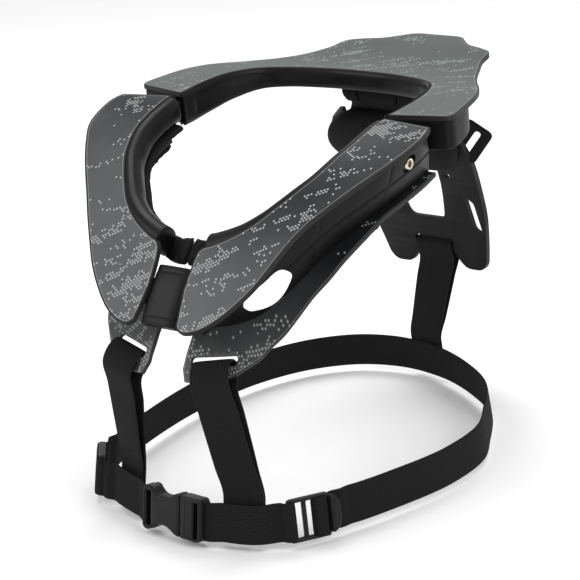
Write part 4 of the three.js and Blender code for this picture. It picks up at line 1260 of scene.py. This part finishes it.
@dataclass
class BackPlate:
    """The back plate with its pad and its two side brackets."""

    curve: Sequence = (
        (-10, 125.5), (-28, 127), (-40, 131), (-55, 139.5), (-71, 150.6), (-93, 165), (-123, 178),
        (-144, 186), (-167, 193),
    )
    wall: float = 4.5
    slot_level: float = -141.9

    def slot_frame(self) -> Frame:
        """Where the rear strap passes through the crossbar."""
        below, at, above = self.face(self.slot_level + np.array([-1.0, 0.0, 1.0]))
        return Frame.looking((0, at, self.slot_level), (0, 1, (below - above) / 2), (-1, 0, 0))

    def face(self, z: Array) -> Array:
        """Reach of the outer face at level z, by cubic pieces."""
        dense = smooth(self.curve, 400)
        return np.interp(-z, -dense[:, 0], dense[:, 1])

    def shape(self, word: str, node: str, width: float):
        """A merged copy of a CAD node with softened rims."""
        thing = linked(word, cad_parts[node].data.copy())
        merge(thing)
        flat = thing.modifiers.new("flat", "DECIMATE")
        flat.decimate_type = "DISSOLVE"
        flat.angle_limit = math.radians(0.6)
        bake(thing)
        round_shading(thing.data)
        return soften(thing, width, segments=3, angle=42)

    def pad(self) -> None:
        """The thick pad on the plate's upper front: a shelf, a rounded ridge and petal sides.

        The bulge falls from the middle to the sides as 1 - 0.12 s^2 and rounds off at the rim.
        """
        rows = smooth(
            [(-27.6, 30, 6.5), (-30, 36, 11.5), (-35.5, 44, 13.6), (-41, 50, 13.9),
             (-47, 54, 13.7), (-53, 55.5, 13.2), (-59, 53.5, 12.4), (-65, 49, 11), (-69.5, 45, 8)],
            36,
        )
        z, half, bulge = rows.T
        s = np.linspace(-1, 1, 33)[None, :]
        round_off = np.sqrt(np.clip(1 - np.abs(s) ** 14, 0, 1))
        thick = self.wall + 0.5 + bulge[:, None] * (0.12 + 0.88 * round_off * (1 - 0.12 * s * s))
        x = s * half[:, None]
        slope = 0.3 * np.gradient(self.face(z), z) - 0.42
        normal = np.stack([1 / np.hypot(1, slope), -slope / np.hypot(1, slope)])[..., None]

        def at(depth: Array) -> Array:
            """Points at a depth below the plate's outer face."""
            y, low = np.stack([self.face(z), z])[..., None] - depth * normal
            return np.stack([x, y, low], -1)

        floor = np.full_like(thick, self.wall + 0.6)
        thing = grid_mesh("back_cushion", slab_loops(at(thick), at(floor)))
        swell(thing, cap=1.0, voxel=2.2)
        fit(thing, Finish.PAD, "back_pad")

    def build(self) -> None:
        """Builds the back plate's pieces."""
        plate = self.shape("back_shell", "back_plate", 0.9)
        fit(plate, Finish.BACK, "back_plate")
        self.pad()
        for side in Side:
            ear = self.shape(f"side_ear_{side.word}", f"side_bracket_{side.word}", 0.6)
            fit(ear, Finish.BODY, f"side_bracket_{side.word}")


@dataclass
class Joiner:
    """The flexible piece between the arms: a shallow saddle with grooves across it."""

    middle: float = -136.4

    def build(self) -> None:
        """Builds the joiner.

        Its face lies 0.6 + 1.7 s^4 + 1.4 (d / 11.6)^4 below the plates' face, with s from side
        to side and d from its middle, and 0.4 deeper in the groove beside each end.
        """
        y, s = np.meshgrid(np.linspace(-124.8, -148, 60), np.linspace(-1, 1, 19), indexing="ij")
        d = y - self.middle
        ribs = 0.4 * np.exp(-((np.abs(d) - 9.2) / 0.5) ** 2)
        dip = 0.6 + 1.7 * s ** 4 + 1.4 * (d / 11.6) ** 4 + ribs
        top, low = (DRAPE.put(13.5 * s, y, -depth) for depth in (dip, 8.6))
        thing = grid_mesh("joiner_form", slab_loops(top, low))
        soften(thing, width=0.8, segments=3)
        fit(thing, Finish.BUMPER, "front_joiner")


# Webbing and fittings


def strip_mesh(name: str, at: Array, up: Array, out: Array, width: float, wall: float):
    """A woven strip with rounded edges along a path, with its own coordinates.

    The section is a flattened loop: w/2 sgn(cos a)|cos a|^0.5 across the width and
    t/2 sgn(sin a)|sin a|^0.35 through the thickness.

    Args:
        name: the object's name.
        at: the middle line.
        up: the way of the width at each point.
        out: the way of the outer face.
        width: the strip's width.
        wall: its thickness.

    Returns:
        The object.
    """
    a = np.linspace(0, 2 * math.pi, 40, endpoint=False) + math.pi / 40
    w = np.sign(np.cos(a)) * np.abs(np.cos(a)) ** 0.5 * width / 2
    t = np.sign(np.sin(a)) * np.abs(np.sin(a)) ** 0.35 * wall / 2
    loops = at[:, None] + w[None, :, None] * up[:, None] + t[None, :, None] * out[:, None]
    length = arc_length(at)
    uv = np.stack(np.broadcast_arrays(w[None, :] + 50, length[:, None] + 50), -1) * MM
    thing = grid_mesh(name, loops, uv=uv)
    return soften(thing, angle=50)


@dataclass
class Harness:
    """The belt, its fittings and the three double straps."""

    course: Sequence = (
        (0.05, -1.0), (0.33, -0.99), (0.56, -0.925), (0.66, -0.8), (0.79, -0.62), (0.9, -0.37),
        (0.98, -0.08), (0.96, 0.2), (0.84, 0.4), (0.64, 0.66), (0.38, 0.83), (0.0, 0.975),
        (-0.3, 1.0), (-0.56, 0.93), (-0.76, 0.77), (-0.9, 0.52), (-0.95, 0.12), (-0.9, -0.3),
        (-0.8, -0.64), (-0.62, -0.82), (-0.3, -0.94),
    )
    half_width: float = 122.0
    half_depth: float = 163.0
    back: float = 16.0
    drop: float = 237.5
    flare: float = 0.13
    belt_width: float = 26.0
    wall: float = 1.8
    height: float = 29.0
    buckle_length: float = 52.0
    buckle_depth: float = 11.0

    def __post_init__(self) -> None:
        """Works out the belt's line and its arc length."""
        line = smooth(self.course, 1400, closed=True) * [self.half_width, self.half_depth]
        line[:, 1] += self.back
        self.ring = np.vstack([line, line[:1]])
        self.arc = arc_length(self.ring)
        self.length = self.arc[-1]

    def on_belt(self, s: Array, lift=0.0) -> tuple:
        """Belt points and axes at arc lengths: middle, across, up and out."""
        s = np.atleast_1d(np.asarray(s, float))

        def spot(v: Array) -> Array:
            """Points of the ring at arc lengths, wrapped round."""
            v = np.mod(v, self.length)
            return np.stack([np.interp(v, self.arc, self.ring[:, i]) for i in range(2)], -1)

        along = unit(spot(s + 2.0) - spot(s - 2.0))
        across = np.c_[along, np.zeros(len(s))]
        out = unit(np.c_[along[:, 1], -along[:, 0], np.full(len(s), self.flare)])
        up = np.cross(out, across)
        at = np.c_[spot(s), np.full(len(s), -self.drop)] + out * np.asarray(lift)
        return at, across, up, out

    def nearest(self, x: float, y: float) -> float:
        """The arc length nearest to a place seen from above."""
        k = int(np.argmin(np.hypot(self.ring[:, 0] - x, self.ring[:, 1] - y)))
        s = float(self.arc[k])
        return s - self.length if s > self.length / 2 else s

    def belt_frame(self, s: float, lift: float = 0.0) -> Frame:
        """The belt's frame at an arc length."""
        at, across, up, out = (v[0] for v in self.on_belt(s, lift))
        return Frame(at, across, up, out)

    def strip(self, name: str, s: Array, node: str, start: Array, stop: Array) -> None:
        """A stretch of the belt between two threaded or straight ends.

        Args:
            name: the piece's name.
            s: arc lengths of its free stretch.
            node: the CAD node that it stands for.
            start: rows of middle, up and out before the free stretch.
            stop: rows after it.
        """
        at, _, up, out = self.on_belt(s)
        rows = np.vstack([start, np.hstack([at, up, out]), stop])
        fine = smooth(rows, 12 * len(rows))
        up = unit(fine[:, 3:6])
        along = unit(np.gradient(fine[:, :3], axis=0))
        out = unit(np.cross(along, up))
        if (out * fine[:, 6:9]).sum() < 0:
            out = -out
        up = unit(np.cross(out, along))
        thing = strip_mesh(name, fine[:, :3], up, out, self.belt_width, self.wall)
        fit(thing, Finish.WEB, node)

    def lock_place(self, side: Side, s: float) -> Frame:
        """An adjuster's frame: local x runs towards the belt's rear stretch."""
        place = self.belt_frame(s, lift=5.3)
        if side is Side.RIGHT:
            place = Frame(place.at, -place.across, -place.up, place.out)
        return place

    def threaded(self, side: Side, s: float, rear: bool) -> Array:
        """A belt end's way round its bar in an adjuster: rows of middle, up and out."""
        place = self.lock_place(side, s)
        rear_way = [
            (22, -4.6), (14, -3.9), (9.3, 0), (7, 2.7), (4, 3), (1.2, 2.7), (-0.4, 0), (0.4, -2.8),
        ]
        front_way = [
            (-24.5, -4), (-21.4, -2.4), (-20.3, 0.6), (-17.2, 3), (-13.4, 0.6), (-13, -3),
        ]
        x, z = np.array(rear_way if rear else front_way).T
        up = place.up if place.up[2] > 0 else -place.up
        axes = np.tile(np.r_[up, place.out], (len(x), 1))
        return np.hstack([place.place(x, 0 * x, z), axes])

    def adjuster(self, side: Side, s: float) -> None:
        """A ladder-lock: a frame with windows and bars, and a domed lever plate at one end."""
        place = self.lock_place(side, s)
        rim = rounded_outline([
            (-18.5, -14.5, 3), (8, -14.5, 4), (18.4, -8, 12), (18.4, 8, 12), (8, 14.5, 4),
            (-18.5, 14.5, 3),
        ])
        sizes = ((6.6, 23.5, -11.3), (5.4, 23.5, -2.5), (3.2, 22.4, 8.9))
        windows = [box_outline(w, h, 1.0, x) for w, h, x in sizes]
        base = moulding(f"adjuster_frame_{side.word}", [rim, *windows], 3.4, 0.9)
        lever_rim = rounded_outline([
            (10.9, -13, 2), (14.6, -12, 5), (18.3, -7, 9), (18.3, 7, 9), (14.6, 12, 5),
            (10.9, 13, 2),
        ])
        lever = moulding("lever", [lever_rim], 4.6, 1.7)
        lever.data.transform(Matrix.Translation((0, 0, 1.4 * MM)))
        rails = [
            moulding("rail", [box_outline(26, 2.2, 1, -3, y)], 4.6, 1.0) for y in (-13.3, 13.3)
        ]
        whole = place.put(unite(base, lever, *rails))
        fit(whole, Finish.FITTING, f"adjuster_{side.word}")

    def buckle(self, place: Frame) -> None:
        """The side-release buckle: a waisted socket with thumb notches, and its plug."""
        stop = self.buckle_length / 2
        end, part = -stop, 0.14 * self.buckle_length
        h, depth = self.height / 2, self.buckle_depth
        half = [(end, 3, 0), (end + 9, 3, 0), (end + 14, 5, 4.6), (end + 22, 5, 4.6),
                (part - 4, 4, 0), (part, 2, 0)]
        rim = rounded_outline(
            [(x, inset - h, r) for x, r, inset in half]
            + [(x, h - inset, r) for x, r, inset in half[::-1]]
        )
        body = moulding("socket_body", [rim, box_outline(3.6, 24.5, 1.4, end + 5.2)], depth, 2.4)
        crown = moulding("socket_crown", [box_outline(17, 15, 5, end + 24)], depth + 1.0, 2.2)
        bar = box_outline(2.4, 25.2, 1, part - 3.5)
        bridge = moulding("socket_bridge", [bar], depth + 0.8, 0.9)
        fit(place.put(unite(body, crown, bridge)), Finish.FITTING, "buckle_socket")
        start = part + 0.4
        plug_rim = rounded_outline([
            (start, -h, 1.5), (stop - 3, -h, 2), (stop, -h + 2, 3), (stop, h - 2, 3),
            (stop - 3, h, 2), (start, h, 1.5),
        ])
        plug_slot = box_outline(3.4, 24.5, 1.2, stop - 5)
        plug = moulding("plug_body", [plug_rim, plug_slot], depth, 1.8)
        rib = moulding("plug_rib", [box_outline(2.2, 25.5, 1, start + 4.2)], depth + 1.0, 0.9)
        prongs = [
            moulding("prong", [box_outline(16, 3.4, 1.4, start - 10, s * (h - 6.0))], 5.0, 1.2)
            for s in (-1, 1)
        ]
        fit(place.put(unite(plug, rib, *prongs)), Finish.FITTING, "buckle_plug")

    def strap(
        self, name: str, slot: Frame, s: float, side: int, width: float, wall: float, play: float
    ) -> None:
        """A double strap through a slot, its two ends flat on one side of the belt.

        The line runs up the outer layer, round the plate's edge in the slot and down again.
        The width's way turns smoothly from the slot's to the belt's.

        Args:
            name: the CAD node that it stands for.
            slot: the plate's slot.
            s: the arc length where it meets the belt.
            side: 1 for the belt's outer face, -1 for its inner one.
            width: the strap's width.
            wall: the plate's thickness in the slot.
            play: its clearance.
        """
        place = self.belt_frame(s)
        clear = self.wall / 2 + play

        def in_slot(d: float, n: float) -> Array:
            """A point below the slot's middle, n outside the plate's face."""
            return slot.at - slot.up * d + slot.out * n

        def low(layer: int, share: float) -> Array:
            """A point on the belt's face, layer by layer."""
            here = self.belt_frame(s, side * (layer * (self.wall + 0.3) + play - 0.3))
            return here.at + here.up * share * self.belt_width / 2

        def run(top: Array, foot: Array, sag: Array, shares: Sequence) -> list:
            """Points between a slot and the belt, sagging by sag k (1 - k)."""
            return [(top * k + foot * (1 - k) + sag * k * (1 - k), 1 - k) for k in shares]

        outer, inner = (2, 1) if side > 0 else (1, 2)
        way = place.across if place.across @ slot.across > 0 else -place.across
        sag, rise = slot.out * 1.5, (0, 0.25, 0.5, 0.75, 1)
        stops = [(low(outer, k), 1) for k in (-0.9, 0, 0.9)]
        stops += run(in_slot(15, clear), low(outer, 1.3), sag, rise)
        bend = (
            (5, clear), (0.8, clear * 0.4), (0, -wall / 2), (0.8, -wall - clear * 0.4),
            (5, -wall - clear),
        )
        stops += [(in_slot(d, n), 0) for d, n in bend]
        stops += run(in_slot(15, -wall - clear), low(inner, 1.3), -sag, rise[::-1])
        stops += [(low(inner, k), 1) for k in (0.9, 0, -0.9)]
        rows = np.array([[*p, w] for p, w in stops])
        fine = smooth(rows, 260)
        at, share = fine[:, :3], np.clip(fine[:, 3:], 0, 1)
        across = unit(slot.across * (1 - share) + way * share)
        along = unit(np.gradient(at, axis=0))
        out = unit(np.cross(along, across))
        thing = strip_mesh(f"{name}_web", at, across, out, width, self.wall)
        fit(thing, Finish.WEB, name)

    def build(self, slots: dict, rear_slot: Frame) -> None:
        """Builds the belt, fittings and straps.

        Args:
            slots: each side's chest slot.
            rear_slot: the back plate's slot.
        """
        left = self.nearest(0.74 * self.half_width, self.back - 0.78 * self.half_depth)
        right = self.nearest(-0.74 * self.half_width, self.back - 0.78 * self.half_depth)
        middle = self.nearest(0.04 * self.half_width, self.back - self.half_depth)
        place = self.belt_frame(middle)
        half = self.buckle_length / 2
        clear = half + 12

        def straight(*xs: float) -> Array:
            """Rows of points on the buckle's own line, with their axes."""
            line = place.place(np.array(xs), np.zeros(len(xs)), np.zeros(len(xs)))
            return np.hstack([line, np.tile(np.r_[place.up, place.out], (len(xs), 1))])

        ends = {
            (side, rear): self.threaded(side, s, rear)
            for side, s in ((Side.LEFT, left), (Side.RIGHT, right)) for rear in (True, False)
        }
        stretch = np.linspace(left + 27, right + self.length - 27, 70)
        start, stop = ends[Side.LEFT, True][::-1], ends[Side.RIGHT, True]
        self.strip("belt_rear_web", stretch, "belt_rear", start, stop)
        stretch = np.linspace(middle + clear, left - 30, 8)
        start, stop = straight(half - 6, half + 2), ends[Side.LEFT, False]
        self.strip("belt_front_left_web", stretch, "belt_front_left", start, stop)
        stretch = np.linspace(right + 30, middle - clear, 8)
        start, stop = ends[Side.RIGHT, False][::-1], straight(-half - 2, -half + 6)
        self.strip("belt_front_right_web", stretch, "belt_front_right", start, stop)
        self.buckle(place)
        self.adjuster(Side.LEFT, left)
        self.adjuster(Side.RIGHT, right)
        for side, slot in slots.items():
            s = self.nearest(side.value * 0.46 * self.half_width, self.back - self.half_depth)
            name = f"front_strap_{side.word}"
            self.strap(name, slot, s, side=-1, width=28.0, wall=3.0, play=3.3)
        s = self.nearest(-0.08 * self.half_width, self.back + self.half_depth)
        self.strap("rear_strap", rear_slot, s, side=1, width=30.0, wall=4.5, play=1.3)


def unite(first, *others):
    """Joins overlapping mesh objects into one closed body."""
    for other in others:
        join = first.modifiers.new("join", "BOOLEAN")
        join.operation = "UNION"
        join.object = other
        join.solver = "EXACT"
        bake(first)
        bpy.data.objects.remove(other)
    round_shading(first.data, 30)
    return first


@dataclass
class Studio:
    """A pale floor, soft light and the camera."""

    turn: float = 36.821
    rise: float = 17.825
    roll: float = -3.448
    focal_px: float = 2196.5
    at: Sequence = (858.18, -1149.07, 331.49)
    floor_level: float = -255.5
    floor_half: float = 14.0

    def camera(self) -> None:
        """The camera, from its turn, rise, roll, focal length in pixels and place."""
        a, e, r = (math.radians(v) for v in (self.turn, self.rise, self.roll))
        back = Vector((math.sin(a) * math.cos(e), -math.cos(a) * math.cos(e), math.sin(e)))
        right = Vector((math.cos(a), math.sin(a), 0))
        up = back.cross(right)
        x = right * math.cos(r) + up * math.sin(r)
        y = up * math.cos(r) - right * math.sin(r)
        data = bpy.data.cameras.new("camera")
        data.lens = self.focal_px / PHOTO_PX * SENSOR_MM
        data.sensor_width = SENSOR_MM
        data.clip_end = 50
        thing = linked("camera", data)
        turn = Matrix((x, y, back)).transposed().to_4x4()
        thing.matrix_world = Matrix.Translation(Vector(self.at) * MM) @ turn
        bpy.context.scene.camera = thing

    def floor(self) -> None:
        """A wide pale floor under the part."""
        r, z = self.floor_half, self.floor_level * MM
        mesh = bpy.data.meshes.new("floor")
        mesh.from_pydata([(-r, -r, z), (r, -r, z), (r, r, z), (-r, r, z)], [], [(0, 1, 2, 3)])
        thing = linked("floor", mesh)
        nodes = Nodes("studio_floor")
        mesh.materials.append(nodes.surface(Base_Color=shade(0.93), Roughness=0.9))
        thing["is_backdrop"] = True

    def light(self, name: str, place: Sequence, aim: Sequence, size: float, power: float) -> None:
        """A square soft light at a place, turned to its aim."""
        data = bpy.data.lights.new(name, "AREA")
        data.shape = "SQUARE"
        data.size = size
        data.energy = power
        thing = linked(name, data)
        thing.location = place
        thing.rotation_euler = (Vector(place) - Vector(aim)).to_track_quat("Z", "Y").to_euler()

    def build(self) -> None:
        """Sets the studio up."""
        world = bpy.data.worlds.new("studio")
        world.use_nodes = True
        inputs = world.node_tree.nodes["Background"].inputs
        inputs[0].default_value = (1, 1, 1, 1)
        inputs[1].default_value = 0.75
        bpy.context.scene.world = world
        bpy.context.scene.view_settings.view_transform = "Standard"
        self.camera()
        self.floor()
        self.light("overhead", (-0.3, 0.5, 1.7), (0, 0, -0.05), size=1.3, power=22)
        self.light("front_left", (-1.1, -1.3, 0.9), (0, 0, -0.1), size=0.9, power=9)
        self.light("right", (1.5, -0.2, 0.8), (0, 0, -0.1), size=0.8, power=8)


def main() -> None:
    """Builds the brace and its studio, in order."""
    logging.basicConfig(level=logging.INFO, format="%(name)s %(message)s")
    Studio().build()
    arms = {side: Arm(side) for side in Side}
    for arm in arms.values():
        arm.build()
    Joiner().build()
    RearHalf().build()
    back = BackPlate()
    back.build()
    slots = {side: arm.slot_frame() for side, arm in arms.items()}
    Harness().build(slots, back.slot_frame())
    boxes = {"cad": CAD_BOX, "dressed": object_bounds()}
    plain = {k: [[float(c) for c in corner] for corner in v] for k, v in boxes.items()}
    LOG.info("size %s", plain)


if __name__ == "__main__":
    main()
